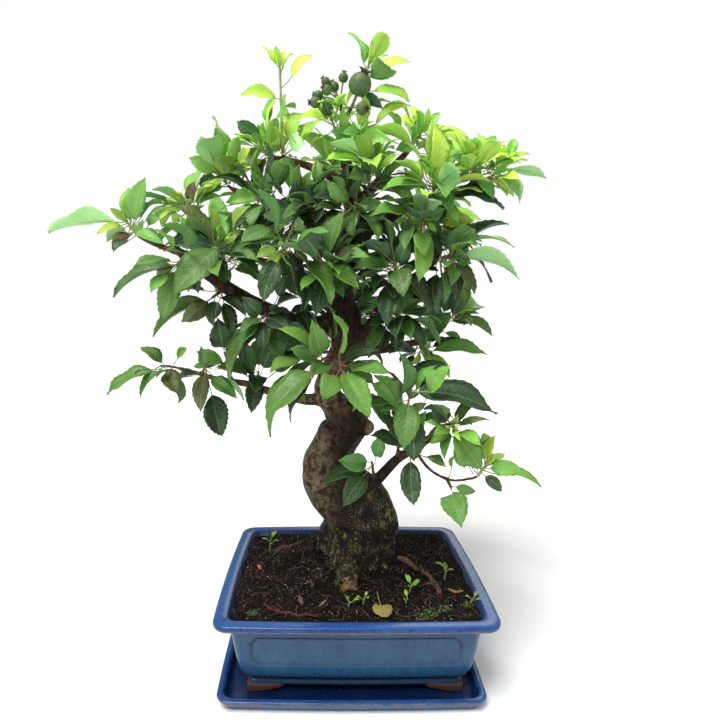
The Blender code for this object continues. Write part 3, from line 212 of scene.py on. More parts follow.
SPRAYS = (
    Spray("left_tip", (-204, -22, 430), (-214, -24, 445), 0, (
        (-283, -34, 434, 63, 9, PALE), (-236, -38, 432, 22, 7, LIME), (-237, -16, 427, 30, 10, PALE),
        (-212, -20, 477, 34, 16, BRIGHT), (-192, -32, 482, 39, 17, BRIGHT),
        (-175, -38, 422, 34, 13, BRIGHT), (-234, -12, 420, 41, 11, DRY),
    )),
    Spray("left_low", (-157, -33, 411), (-159, -46, 406), 1, (
        (-219, -58, 377, 60, 14, MID), (-186, -36, 387, 41, 9, OLIVE), (-150, -52, 379, 34, 11, MID),
    )),
    Spray("left_spur", (-134, -18, 407), (-124, -34, 423), 1, (
        (-162, -64, 375, 62, 27, MID), (-174, -40, 423, 45, 19, DARK), (-170, -28, 460, 58, 11, OLIVE),
        (-96, -40, 457, 27, 7, LIME), (-88, -54, 407, 39, 11, MID), (-119, -44, 387, 41, 16, DARK),
        (-130, -52, 454, 25, 8, LIME),
    )),
    Spray("left_rise", (-166, 30, 458), (-173, 26, 470), 1, (
        (-197, 18, 452, 30, 9, LIME), (-210, 34, 456, 36, 11, OLIVE), (-203, 22, 484, 34, 8, PALE),
        (-162, 26, 492, 26, 10, DRY),
    )),
    Spray("upper_left", (-129, 40, 488), (-138, 34, 502), 1, (
        (-140, -26, 520, 49, 28, PALE), (-167, 28, 515, 35, 16, BRIGHT), (-123, 26, 518, 20, 10, LIME),
        (-161, 42, 492, 41, 19, DARK),
    )),
    Spray("upper_left_mid", (-89, 50, 523), (-93, 56, 537), 1, (
        (-122, 52, 558, 48, 18, DARK), (-117, 40, 497, 46, 11, OLIVE), (-99, 34, 527, 30, 15, LIME),
        (-121, 42, 516, 42, 10, LIME), (-102, 32, 478, 40, 16, DARK),
    )),
    Spray("top_left", (-72, 38, 519), (-74, 34, 605), 0, (
        (-92, 36, 625, 26, 6, LIME), (-68, 30, 618, 14, 5, LIME), (-41, 30, 614, 29, 9, LIME),
        (-113, 28, 576, 38, 13, LIME), (-63, -22, 542, 46, 25, BRIGHT), (-53, 10, 517, 27, 15, PALE),
        (-63, 14, 482, 35, 17, BRIGHT),
    )),
    Spray("crown_left", (-18, 13, 536), (-22, 17, 548), 0, (
        (-31, -2, 564, 28, 11, DARK), (-29, 10, 564, 22, 10, OLIVE), (-53, -2, 546, 34, 8, LIME),
        (-41, 12, 572, 31, 9, LIME),
    )),
    Spray("crown_right", (-3, 5, 555), (14, 2, 595), 0, (
        (27, -28, 608, 32, 18, LIME), (-6, 2, 622, 39, 6, BRIGHT), (52, -2, 595, 34, 8, LIME),
        (27, -36, 568, 40, 22, MID), (53, -2, 561, 35, 6, LIME), (26, -6, 551, 28, 12, DARK),
    )),
    Spray("crown_low", (-8, 9, 517), (7, 2, 534), 1, (
        (-12, -8, 528, 43, 9, BRIGHT), (53, -4, 555, 36, 8, LIME), (-24, -12, 531, 38, 12, MID),
        (32, -16, 519, 36, 15, BRIGHT),
    )),
    Spray("top_mid", (15, 18, 477), (16, 6, 507), 1, (
        (-27, -10, 515, 43, 14, PALE), (-29, -20, 500, 43, 9, LIME), (26, 8, 526, 21, 9, LIME),
        (42, -2, 511, 25, 10, LIME), (-7, -28, 484, 39, 14, MID),
    )),
    Spray("top_mid_low", (9, 19, 458), (-3, -16, 460), 1, (
        (-28, -26, 480, 41, 15, BRIGHT), (27, -30, 458, 40, 14, MID), (-4, -42, 429, 41, 16, MID),
        (-40, -32, 466, 34, 11, DARK),
    )),
    Spray("top_right", (63, 46, 531), (75, 50, 550), 1, (
        (47, 54, 561, 24, 9, LIME), (64, 50, 572, 20, 8, LIME), (91, 48, 565, 24, 11, BRIGHT),
        (101, 40, 512, 34, 10, LIME), (125, 52, 538, 46, 9, LIME), (44, 34, 524, 39, 16, MID),
    )),
    Spray("top_right_low", (71, -12, 466), (74, -24, 476), 1, (
        (83, -70, 482, 40, 23, PALE), (103, -18, 485, 26, 9, LIME), (135, -36, 455, 48, 15, DARK),
        (21, -38, 470, 50, 9, BRIGHT), (84, -48, 448, 35, 14, MID),
    )),
    Spray("right_tip_low", (108, -17, 479), (110, -20, 496), 0, (
        (103, -42, 515, 30, 16, PALE), (85, -30, 502, 34, 10, MID), (120, -34, 459, 30, 11, MID),
    )),
    Spray("right_tip", (127, -19, 486), (141, -18, 499), 0, (
        (148, -18, 521, 20, 10, BRIGHT), (123, -16, 512, 21, 6, LIME), (164, -14, 509, 25, 6, LIME),
        (177, -22, 484, 35, 8, PALE), (152, -28, 460, 30, 10, PALE), (149, -34, 471, 27, 8, BRIGHT),
    )),
    Spray("right_mid", (49, 0, 459), (63, -26, 445), 1, (
        (57, -84, 457, 47, 26, PALE), (80, -40, 454, 34, 14, MID), (108, -32, 445, 31, 15, LIME),
        (117, -34, 426, 39, 14, MID), (7, -36, 446, 47, 8, BRIGHT), (42, -52, 416, 34, 13, MID),
    )),
    Spray("right_low", (74, -21, 410), (91, -26, 413), 1, (
        (154, -32, 393, 59, 6, PALE), (114, -22, 407, 34, 11, MID), (111, -36, 378, 35, 11, OLIVE),
        (105, -32, 427, 36, 14, MID), (92, -42, 372, 36, 14, DARK),
    )),
    Spray("right_low_b", (98, 64, 336), (118, 60, 357), 1, (
        (126, 52, 384, 25, 10, LIME), (160, 54, 333, 43, 8, MID), (141, 64, 353, 35, 14, MID),
    )),
    Spray("right_inner", (43, -8, 393), (37, -34, 405), 1, (
        (39, -70, 375, 39, 22, MID), (67, -44, 361, 48, 13, DARK), (47, -48, 429, 29, 16, MID),
    )),
    Spray("right_inner_low", (30, 2, 365), (41, -14, 360), 1, (
        (67, -26, 324, 41, 13, DARK), (61, -28, 372, 29, 15, MID),
    )),
    Spray("centre_left", (-53, 0, 460), (-65, -52, 416), 1, (
        (-47, -78, 363, 60, 16, DARK), (-89, -60, 409, 21, 10, LIME), (-26, -74, 365, 58, 19, MID),
        (-47, -58, 439, 34, 14, PALE), (-82, -58, 446, 35, 14, PALE), (-105, -46, 423, 34, 13, MID),
    )),
    Spray("centre", (-24, -42, 398), (-29, -60, 405), 1, (
        (-38, -76, 355, 37, 17, MID), (-11, -64, 449, 38, 16, MID), (-50, -96, 420, 35, 19, DARK),
        (1, -72, 382, 38, 15, BRIGHT), (-29, -50, 437, 35, 16, DARK), (2, -64, 415, 38, 14, MID),
    )),
    Spray("centre_high", (-28, 20, 455), (-35, -14, 462), 1, (
        (-64, -28, 467, 38, 15, BRIGHT), (-31, -24, 482, 28, 15, MID), (-50, -36, 433, 40, 16, DARK),
    )),
    Spray("left_high", (-83, 34, 471), (-91, 8, 473), 1, (
        (-123, -10, 464, 41, 15, BRIGHT), (-84, 0, 494, 28, 15, MID), (-100, -16, 441, 35, 14, MID),
        (-60, -14, 453, 36, 12, DARK),
    )),
    Spray("front_left", (-26, -49, 320), (-34, -68, 318), 0, (
        (-80, -92, 273, 57, 22, MID), (-82, -70, 251, 71, 14, MID), (-63, -56, 260, 46, 9, DARK),
        (-39, -84, 356, 39, 19, BRIGHT), (-67, -76, 350, 40, 10, BRIGHT), (-60, -64, 328, 32, 15, MID),
    )),
    Spray("front_right", (-16, -50, 317), (-15, -72, 313), 0, (
        (-31, -116, 295, 36, 20, MID), (10, -100, 275, 48, 23, BRIGHT), (-1, -68, 273, 39, 10, MID),
        (27, -92, 313, 41, 13, BRIGHT), (17, -80, 330, 40, 12, DARK),
    )),
    Spray("front_back", (-24, -30, 322), (-41, -34, 323), 1, (
        (-75, -38, 355, 47, 26, DARK), (-58, -26, 366, 46, 19, DARK), (-83, -30, 311, 35, 15, DARK),
    )),
    Spray("low_left_tip", (-195, 32, 300), (-207, 36, 300), 0, (
        (-264, 30, 270, 55, 9, MID), (-228, 22, 267, 38, 10, MID), (-183, 16, 273, 38, 21, OLIVE),
        (-229, 40, 321, 34, 12, MID),
    )),
    Spray("low_left", (-161, 28, 292), (-152, 14, 303), 0, (
        (-158, 6, 256, 39, 18, OLIVE), (-145, -4, 235, 49, 27, DARK), (-114, 14, 269, 34, 8, PALE),
        (-156, 10, 324, 24, 12, MID),
    )),
    Spray("low_left_rise", (-127, 24, 285), (-136, 30, 316), 0, (
        (-138, 10, 353, 41, 24, DARK), (-114, 22, 347, 39, 9, BRIGHT), (-165, 24, 318, 34, 14, BRIGHT),
    )),
    Spray("low_left_inner", (-99, 18, 279), (-96, 0, 299), 0, (
        (-95, -28, 283, 35, 20, DARK), (-101, -22, 261, 35, 20, DARK), (-119, -8, 332, 39, 15, MID),
        (-77, -6, 334, 36, 18, DARK),
    )),
    Spray("left_hang", (-122, -25, 383), (-132, -34, 375), 0, (
        (-159, -50, 352, 36, 17, OLIVE), (-188, -34, 335, 63, 14, MID), (-130, -50, 348, 34, 11, DARK),
        (-100, -48, 357, 34, 11, DARK),
    )),
    Spray("left_inner", (-82, -10, 360), (-87, -40, 355), 1, (
        (-109, -52, 325, 34, 11, MID), (-102, -58, 375, 32, 16, DARK), (-86, -54, 325, 36, 19, DARK),
        (-58, -60, 344, 38, 16, DARK),
    )),
    Spray("low_right_main", (40, -34, 219), (50, -58, 293), 1, (
        (124, -74, 274, 71, 24, DARK), (40, -82, 242, 52, 24, MID), (53, -62, 224, 62, 23, DARK),
        (15, -66, 306, 38, 14, MID), (38, -62, 326, 40, 15, MID), (74, -66, 314, 34, 14, BRIGHT),
    )),
    Spray("low_right_under", (54, -42, 231), (49, -60, 234), 0, (
        (53, -74, 189, 41, 21, DARK), (23, -60, 269, 37, 14, DARK), (15, -76, 260, 38, 12, DARK),
    )),
    Spray("low_right_out", (89, -50, 260), (88, -56, 259), 0, (
        (106, -62, 284, 38, 10, MID), (122, -60, 265, 29, 7, LIME), (113, -74, 220, 43, 21, MID),
        (66, -62, 279, 36, 15, DARK),
    )),
    Spray("low_right_tip", (114, -50, 205), (123, -52, 220), 0, (
        (110, -48, 241, 24, 9, MID), (125, -56, 249, 28, 11, LIME), (154, -58, 216, 31, 15, BRIGHT),
        (175, -52, 198, 44, 9, BRIGHT), (134, -64, 197, 30, 12, DARK),
    )),
    Spray("low_right_hang", (86, -48, 206), (87, -58, 202), 0, (
        (87, -104, 182, 42, 24, MID), (109, -68, 199, 25, 10, MID),
    )),
    Spray("trunk_front", (21, -16, 193), (16, -44, 219), 0, (
        (-16, -54, 224, 39, 19, MID), (-12, -66, 184, 37, 20, DARK), (-31, -48, 199, 41, 14, DARK),
        (26, -50, 250, 30, 14, MID),
    )),
    Spray("right_up", (75, 57, 324), (77, 30, 316), 0, (
        (78, 24, 344, 26, 9, LIME), (142, 20, 314, 55, 15, BRIGHT), (104, 22, 289, 33, 11, LIME),
        (126, 38, 325, 45, 11, DARK),
    )),
    Spray("back_left", (-88, 92, 412), (-110, 118, 450), 7, ()),
    Spray("back_left_tip", (-133, 115, 422), (-165, 128, 440), 6, ()),
    Spray("back_top", (-13, 115, 509), (-20, 135, 545), 7, ()),
    Spray("back_right", (72, 92, 428), (88, 112, 470), 6, ()),
    Spray("back_right_tip", (114, 112, 429), (145, 126, 446), 6, ()),
    Spray("back_low", (-4, 100, 334), (6, 128, 352), 6, ()),
)

# Fruit: bunches with the (x, y, z, radius) of each apple
BUNCHES = (
    Bunch("apples_left", (-12, 5, 551), (-14, 3, 559), (
        (-38, -3, 557, 5.2), (-35, 8, 567, 4.7), (-27, -6, 567, 4.8), (-20, 5, 574, 5),
        (-11, -1, 580, 4.6), (-28, 1, 577, 4.3),
    )),
    Bunch("apples_right", (-7, 0, 547), (-4, -6, 551), ((4, -14, 569, 10.5), (6, -17, 547, 5.8))),
)

SPUR_RADII = (2.2, 2, 1.8)
FRUIT_STALK = (0.9, 0.8)
CALYX = ((0.67, 0), (1.3, 0.372), (1.03, 0))

# On the soil: seedlings as (x, y, height, leaves), and the middle line of what fell
SEEDLINGS = ((-92, 45, 16, 3), (55, -43, 10, 3), (95, -18, 15, 3))
SEEDLING_LEAF = 10
FALLEN_LEAF = (24, -75)
FALLEN_SIZE = (19, 17)
FALLEN_TWIG = ((-87, -64), (-66, -75), (-35, -81))

# Leaves: each blade is solid, folded along its rib, with (share of length, share of width) teeth
TINY_TEETH = ((0.28, 1), (0.68, 1.02))
SMALL_TEETH = ((0.2, 1), (0.5, 1.04), (0.78, 0.95))
BIG_TEETH = ((0.13, 0.96), (0.36, 1.04), (0.42, 0.88), (0.68, 1))
LONG_TEETH = ((0.13, 0.96), (0.36, 1.04), (0.41, 0.9), (0.66, 1.04), (0.72, 0.86))
SMALL_LEAF = 31
BIG_LEAF = 34
LONG_LEAF = 46
RIB_SHARE = 0.45
RIB_TOP, RIB_LOW = 6, 7
BLADE_THICK = 1.3
STALK_RADIUS = 0.85
FOLD = math.radians(20)
BLADE_WIDEST = 0.8
BLADE_FULL = 0.9
ARCH = 0.07
ARCH_STEEP = 0.05
WIDTH_SHARE = 0.5
LEAF_CLEAR = 0.45
LOWEST_LEAF = 100
MOST_TRIES = 90

# Shoots, and how they and the leaves are set out
SHOOT_SEED = 7
BARK_CLEAR = 3
SHORTEST_SHOOT = 8
SHORT_TWIG = 16
THICKEST_TWIG = 2.6
SHOOT_RADII = (1.5, 1.3, 1)
DRIFT = 0.9
MOST_DRIFT = 26
SHORTEST_STALK = 6
FRONT_VIEW = Vector((-29, -522, 377))
GOLDEN = math.radians(137.5)
UP = Vector((0, 0, 1))

# The crown: its middle, and how far it reaches to its sides, front, back and top
CROWN_MIDDLE = (-20, 20, 420)
CROWN_WIDE = 225
CROWN_FRONT = 130
CROWN_BACK = 220
CROWN_HIGH = 165

# Leaves that only fill the crown, inside its outline as (x, z) seen from the front
FILL_SEED = 21
FILL_COUNT = 24
FILL_COUNTS = {
    "trunk_front": 0, "front_left": 1, "front_right": 3, "front_back": 8, "low_right_main": 16,
    "low_right_under": 12, "low_right_out": 9, "low_right_tip": 9, "low_right_hang": 6,
    "low_left_tip": 4, "low_left": 4, "low_left_rise": 5, "low_left_inner": 5, "left_tip": 7,
    "left_low": 6, "left_hang": 3, "left_inner": 10, "centre_left": 36, "centre": 36,
    "centre_high": 36, "right_inner": 34, "right_inner_low": 34, "back_low": 40, "back_left": 32,
    "back_left_tip": 30, "back_top": 32, "back_right": 32, "back_right_tip": 30, "top_left": 9,
    "crown_left": 6, "crown_right": 6, "crown_low": 9, "right_low_b": 12, "right_up": 12,
}
FILL_TRIES = 26
FILL_CLEAR = 0.1
TWIG_CLEAR = 3
CROWN = (
    (-257, 447), (-236, 468), (-210, 481), (-154, 470), (-158, 515), (-137, 531), (-104, 535),
    (-111, 564), (-75, 567), (-52, 557), (-35, 567), (-11, 591), (35, 600), (54, 564), (81, 544),
    (110, 535), (144, 528), (167, 505), (157, 468), (117, 460), (126, 424), (115, 409), (128, 371),
    (133, 345), (113, 331), (126, 313), (88, 299), (111, 284), (142, 268), (148, 228), (122, 196),
    (81, 196), (70, 228), (44, 236), (14, 244), (4, 272), (-18, 266), (-54, 245), (-83, 236),
    (-103, 270), (-124, 257), (-149, 236), (-169, 261), (-207, 280), (-228, 299), (-187, 319),
    (-168, 341), (-185, 371), (-213, 377), (-233, 409), (-252, 426),
)


@dataclass(frozen=True)
class Leaf:
    """A leaf: its stalk's foot, blade's base, chord and upper side, its sizes, tone and fold."""

    foot: Vector
    base: Vector
    chord: Vector
    face: Vector
    length: float
    width: float
    tone: Colour
    folded: float = 1

    @property
    def side(self) -> Vector:
        """The direction across the blade, to the right of its chord."""
        return self.chord.cross(self.face)

    @property
    def arch(self) -> float:
        """How far the rib rises over its chord, as a share of the length."""
        return ARCH + ARCH_STEEP * abs(self.chord.z)

    @property
    def lowest(self) -> float:
        """The lowest height that the blade may reach."""
        return min(self.rib(1).z, self.base.z) - 0.3 * self.width

    @property
    def teeth(self) -> tuple:
        """The edge points that a leaf of this length has in the solids."""
        for least, teeth in ((LONG_LEAF, LONG_TEETH), (BIG_LEAF, BIG_TEETH), (SMALL_LEAF, SMALL_TEETH)):
            if self.length > least:
                return teeth
        return TINY_TEETH

    def up(self, t: float) -> Vector:
        """The upper side's direction on the rib at share t of the blade."""
        bend = 4 * self.arch * (1 - 2 * t)
        return (self.face - self.chord * bend).normalized()

    def rib(self, t: float) -> Vector:
        """The point on the rib at share t of the blade."""
        rise = 4 * self.arch * t * (1 - t)
        return self.base + (self.chord * t + self.face * rise) * self.length

    def half(self, t: float) -> float:
        """Half the blade's width at share t of its length."""
        return 0.5 * self.width * math.sin(math.pi * t**BLADE_WIDEST) ** BLADE_FULL

    def edge(self, t: float, share: float) -> Vector:
        """A point at share of the half width, to the right or, below zero, the left."""
        across = self.side * math.cos(FOLD) * share + self.up(t) * math.sin(FOLD) * abs(share)
        return self.rib(t) + across * self.half(t)

    def solid(self, spare: float = 0.0) -> Solid:
        """The plain solid, which tells whether the leaf crosses anything.

        Args:
            spare: How much larger than the leaf the solid is, all round.

        Returns:
            Its points and faces, the stalk's seven faces first.
        """
        points = []
        for place in (self.foot, self.base):
            for way in (self.side, -self.up(0), -self.side):
                points.append(place + way * (STALK_RADIUS + spare))
        faces = [(2, 1, 0)]
        for a, b in ((0, 1), (1, 2), (2, 0)):
            faces += [(a, b, b + 3), (a, b + 3, a + 3)]
        thick = 0.5 * BLADE_THICK + spare
        points += [self.rib(RIB_SHARE) + self.up(RIB_SHARE) * way * thick for way in (1, -1)]
        for t, share in self.teeth:
            share += 2 * spare / self.width
            points += [self.edge(t, share), self.edge(t, -share)]
        tip = len(points)
        points.append(self.rib(1) + self.chord * spare)
        early = 1 + sum(t < RIB_SHARE for t, _ in self.teeth)
        faces.append((5, 3, RIB_TOP))
        for edge in ((3, *range(RIB_LOW + 1, tip, 2), tip), (5, *range(RIB_LOW + 2, tip, 2), tip)):
            faces += fan(RIB_TOP, edge) + fan(4, edge[:early])
            faces += [(4, RIB_LOW, edge[early - 1]), *fan(RIB_LOW, edge[early - 1:])]
        return points, faces


def fan(middle: int, edge: Sequence[int]) -> list[tuple[int, ...]]:
    """Triangles from one point to each stretch of an edge."""
    return [(middle, b, a) for a, b in zip(edge, edge[1:])]


def blade_only(solid: Solid) -> Solid:
    """The blade's faces, without its stalk's seven."""
    return solid[0], solid[1][7:]


def openness(place: Vector) -> float:
    """How far out in the light a place lies.

    Args:
        place: The place.

    Returns:
        Nought deep in the crown, one at its skin or its top.
    """
    x, y, z = (value - middle for value, middle in zip(place, CROWN_MIDDLE))
    high = z / CROWN_HIGH
    away = math.hypot(x / CROWN_WIDE, y / (CROWN_FRONT if y < 0 else CROWN_BACK), high)
    return min(1, max(0, 1.5 * (away - 0.42) + 0.6 * high))


def palette(place: Vector) -> tuple[Colour, ...]:
    """The tones that a leaf at a place may have: darker deep in the crown as painted shade, brighter out and
    high as painted light.
    """
    share = openness(place)
    return INNER if share < 0.2 else MIDDLE if share < 0.45 or place.z < 450 else OUTER


def turned(side: Vector, way: Vector, angle: float) -> Vector:
    """A direction across a way, turned round it from a side."""
    return side * math.cos(angle) + way.cross(side) * math.sin(angle)


def rings_along(
    line: Line, sides: int, lobes: Lobes | None = None, end_way: Vector | None = None,
) -> list[list[Vector]]:
    """The rings of places round a limb.

    Args:
        line: Its middle line and radii, as (x, y, z, radius) points.
        sides: How many places a ring has.
        lobes: The share of the radius at a place and an angle round the limb.
        end_way: The direction that the last ring looks in.

    Returns:
        A ring for each point of the line.
    """
    places = [Vector(p[:3]) for p in line]
    ways = [(b - a).normalized() for a, b in zip([places[0], *places], [*places[1:], places[-1]])]
    if end_way is not None:
        ways[-1] = end_way
    side = (places[1] - places[0]).orthogonal().normalized()
    rings = []
    for place, way, point in zip(places, ways, line):
        side = (side - way * side.dot(way)).normalized()
        ring = []
        for k in range(sides):
            angle = FULL_TURN * k / sides
            reach = point[3] * (lobes(place, angle) if lobes else 1)
            ring.append(place + turned(side, way, angle) * reach)
        rings.append(ring)
    return rings


def limb_solid(line: Line, sides: int, lobes: Lobes | None = None, end_way: Vector | None = None) -> Solid:
    """The plain solid of a limb, which tells whether a leaf crosses it.

    Args:
        line: Its (x, y, z, radius) points.
        sides: How many flat sides it has.
        lobes: The share of the radius at a place and an angle.
        end_way: The direction that its last face looks in.

    Returns:
        Its points and faces.
    """
    rings = rings_along(line, sides, lobes, end_way)
    last = (len(rings) - 1) * sides
    faces: list[tuple[int, ...]] = [tuple(range(sides)), tuple(range(last, last + sides))]
    for row in range(0, last, sides):
        for k in range(sides):
            a, b = row + k, row + (k + 1) % sides
            faces += [(a, b, b + sides), (a, b + sides, a + sides)]
    return [p for ring in rings for p in ring], faces


def trunk_lobes(place: Vector, angle: float) -> float:
    """The trunk's section, drawn in and out along its length."""
    turn = 0.04 * math.sin(2 * angle + place.z * 0.05)
    return 1 + turn + 0.04 * math.sin(5 * angle - place.z * 0.09)


def fruit_solids(bunch: Bunch) -> list[Solid]:
    """A bunch's short spur, then a stalk, a fruit and its calyx for each of its places.

    Args:
        bunch: The bunch.

    Returns:
        The plain solids.
    """
    foot, hub = Vector(bunch.foot), Vector(bunch.hub)
    way = (hub - foot).normalized()
    solids = [limb_solid([(*(foot + way * GAP), 1.7), (*hub, 1.6), (*(hub + way * 1.5), 1.2)], 6)]
    for x, y, z, radius in bunch.fruit:
        centre = Vector((x, y, z))
        axis = (centre - hub).normalized()
        end = centre - axis * radius * 0.7
        solids.append(limb_solid([(*hub, FRUIT_STALK[0]), (*end, FRUIT_STALK[1])], 4))
        skin = [(-math.cos(turn), math.sin(turn)) for turn in np.linspace(0, math.pi, 5)]
        for sides, rows in ((7, skin), (5, CALYX)):
            solids.append(limb_solid([(*(centre + axis * radius * a), radius * r) for a, r in rows], sides))
    return solids


def in_crown(point: Vector) -> bool:
    """Finds whether a point, seen from the front, lies inside the crown's outline.

    Args:
        point: The point.

    Returns:
        Whether it does.
    """
    share = -FRONT_VIEW.y / (point.y - FRONT_VIEW.y)
    x = FRONT_VIEW.x + (point.x - FRONT_VIEW.x) * share
    z = FRONT_VIEW.z + (point.z - FRONT_VIEW.z) * share
    found = False
    for (ax, az), (bx, bz) in zip(CROWN, (*CROWN[1:], CROWN[0])):
        if (az > z) != (bz > z) and x < ax + (z - az) * (bx - ax) / (bz - az):
            found = not found
    return found


def nearest_on_wood(point: Vector) -> tuple[float, Vector, float, Vector]:
    """The nearest branch or upper trunk to a point.

    Args:
        point: The point.

    Returns:
        The bark's distance, the place inside the limb, its radius there and its way.
    """
    best = None
    for line in (TRUNK[13:], *BRANCHES.values()):
        for a, b in zip(line, line[1:]):
            start, end = Vector(a[:3]), Vector(b[:3])
            span = end - start
            t = min(max((point - start).dot(span) / span.length_squared, 0), 1)
            place = start + span * t
            radius = a[3] + (b[3] - a[3]) * t
            bark = (point - place).length - radius
            if best is None or bark < best[0]:
                best = (bark, place, radius, span.normalized())
    return best


@dataclass(frozen=True)
class Shoot:
    """A spray's stem from its foot to its end, and the twig that carries it."""

    foot: Vector
    end: Vector
    twig: Line

    @property
    def way(self) -> Vector:
        """The direction in which the stem grows."""
        return (self.end - self.foot).normalized()

    @property
    def stem(self) -> Line:
        """The stem's (x, y, z, radius) points."""
        start = self.foot + self.way * GAP
        return [(*start.lerp(self.end, t), r) for t, r in zip((0, 0.5, 1), SHOOT_RADII)]


def plan_shoot(foot: Sequence[float], end: Sequence[float]) -> Shoot:
    """Plans a shoot whose twig curves from the nearest wood to its foot.

    Args:
        foot: Where the stem starts.
        end: Where it ends.

    Returns:
        The shoot, moved out where it would start in the bark.
    """
    foot, end = Vector(foot), Vector(end)
    way = (end - foot).normalized()
    _, place, radius, along = nearest_on_wood(foot)
    while nearest_on_wood(foot)[0] < BARK_CLEAR:
        foot += way
    if (end - foot).dot(way) < SHORTEST_SHOOT:
        end = foot + way * SHORTEST_SHOOT
    reach = (foot - place).length
    thick = min(0.75 * radius, THICKEST_TWIG)
    if reach < SHORT_TWIG:
        return Shoot(foot, end, ((*place, thick), (*foot, 1.9)))
    bend = (place + along * reach * 0.3 + foot - way * reach * 0.35) * 0.5
    middle = bend * 0.75 + (place + foot) * 0.125
    return Shoot(foot, end, ((*place, thick), (*middle, 2.1), (*foot, 1.8)))


def spur_line(bunch: Bunch) -> Line:
    """The line from the trunk's tip to a bunch's foot."""
    start, foot = Vector(TRUNK[-1][:3]), Vector(bunch.foot)
    return [(*start.lerp(foot, t), r) for t, r in zip((0, 0.5, 1), SPUR_RADII)]


def wood_solids(shoots: dict[str, Shoot]) -> list[Solid]:
    """The plain solids of trunk, roots, knob, branches, twigs and the fruit's spurs.

    Args:
        shoots: The sprays' shoots.

    Returns:
        The solids.
    """
    solids = [limb_solid(TRUNK, 12, trunk_lobes)]
    solids += [limb_solid(line, 6) for line in (*ROOTS.values(), KNOB)]
    solids += [limb_solid(line, 5) for line in BRANCHES.values()]
    solids += [limb_solid(shoot.twig, 4, end_way=shoot.way) for shoot in shoots.values()]
    for bunch in BUNCHES:
        way = (Vector(bunch.hub) - Vector(bunch.foot)).normalized()
        solids.append(limb_solid(spur_line(bunch), 5, end_way=way))
    return solids


class Thicket:
    """What already stands in the air, so that each new leaf is kept clear of it."""

    def __init__(self) -> None:
        """Starts with nothing in the air."""
        self.pieces: list[tuple] = []

    @staticmethod
    def tree(solid: Solid) -> tuple:
        """A solid's lowest and highest corners and its search tree."""
        low, high = ([pick(p[axis] for p in solid[0]) for axis in range(3)] for pick in (min, max))
        return low, high, BVHTree.FromPolygons(*solid)

    def add(self, owner: str, solid: Solid) -> None:
        """Keeps a solid under its owner's name."""
        self.pieces.append((owner, *self.tree(solid)))

    def clear(self, owner: str | None, solid: Solid) -> bool:
        """Finds whether a solid crosses nothing but its owner's own pieces.

        Args:
            owner: Whose pieces it may cross.
            solid: The solid.

        Returns:
            Whether it does.
        """
        low, high, tree = self.tree(solid)
        for other, other_low, other_high, other_tree in self.pieces:
            apart = any(low[i] > other_high[i] or high[i] < other_low[i] for i in range(3))
            if other != owner and not apart and tree.overlap(other_tree):
                return False
        return True


def face_for(chord: Vector, base: Vector, share: float, tone: Colour) -> Vector:
    """The upper side's direction that shows a share of the width from the front.

    Args:
        chord: The blade's direction.
        base: Where it starts.
        share: The share of its width that is seen.
        tone: Its tone; a pale leaf shows its underside.

    Returns:
        The direction.
    """
    view = (FRONT_VIEW - base).normalized()
    across = chord.cross(view).normalized()
    deep = across.cross(chord)
    shown = -1 if tone == PALE else 1
    faces = []
    for turn in (1, -1):
        side = across * share + deep * turn * math.sqrt(1 - share * share)
        faces += [side.cross(chord).normalized(), chord.cross(side).normalized()]
    return max(faces, key=lambda face: face.z + 0.8 * shown * face.dot(view))


def placed_leaf(shoot: Shoot, rank: float, row: tuple, draw: random.Random, tries: int) -> Leaf:
    """A listed leaf, whose tip is moved a little further at each try.

    Args:
        shoot: The shoot that it grows from.
        rank: Its foot's share of the shoot.
        row: Its tip, length, width seen from the front and tone.
        draw: The source of the small moves.
        tries: How often it has been moved already.

    Returns:
        The leaf.
    """
    x, y, z, length, width, tone = row
    drift = Vector((draw.uniform(-0.5, 0.5), draw.uniform(-1, 1), draw.uniform(-0.5, 0.5)))
    tip = Vector((x, y, z)) + drift * min(DRIFT * tries, MOST_DRIFT)
    foot = shoot.foot.lerp(shoot.end, rank)
    chord = (tip - foot).normalized()
    length = min(length, (tip - foot).length - SHORTEST_STALK) * (1 - 0.003 * tries)
    base = tip - chord * length
    full = max(width, WIDTH_SHARE * length)
    share = min(1, max(0.45, width / full + draw.uniform(-0.01, 0.01) * tries))
    return Leaf(foot, base, chord, face_for(chord, base, share, tone), length, full, tone)


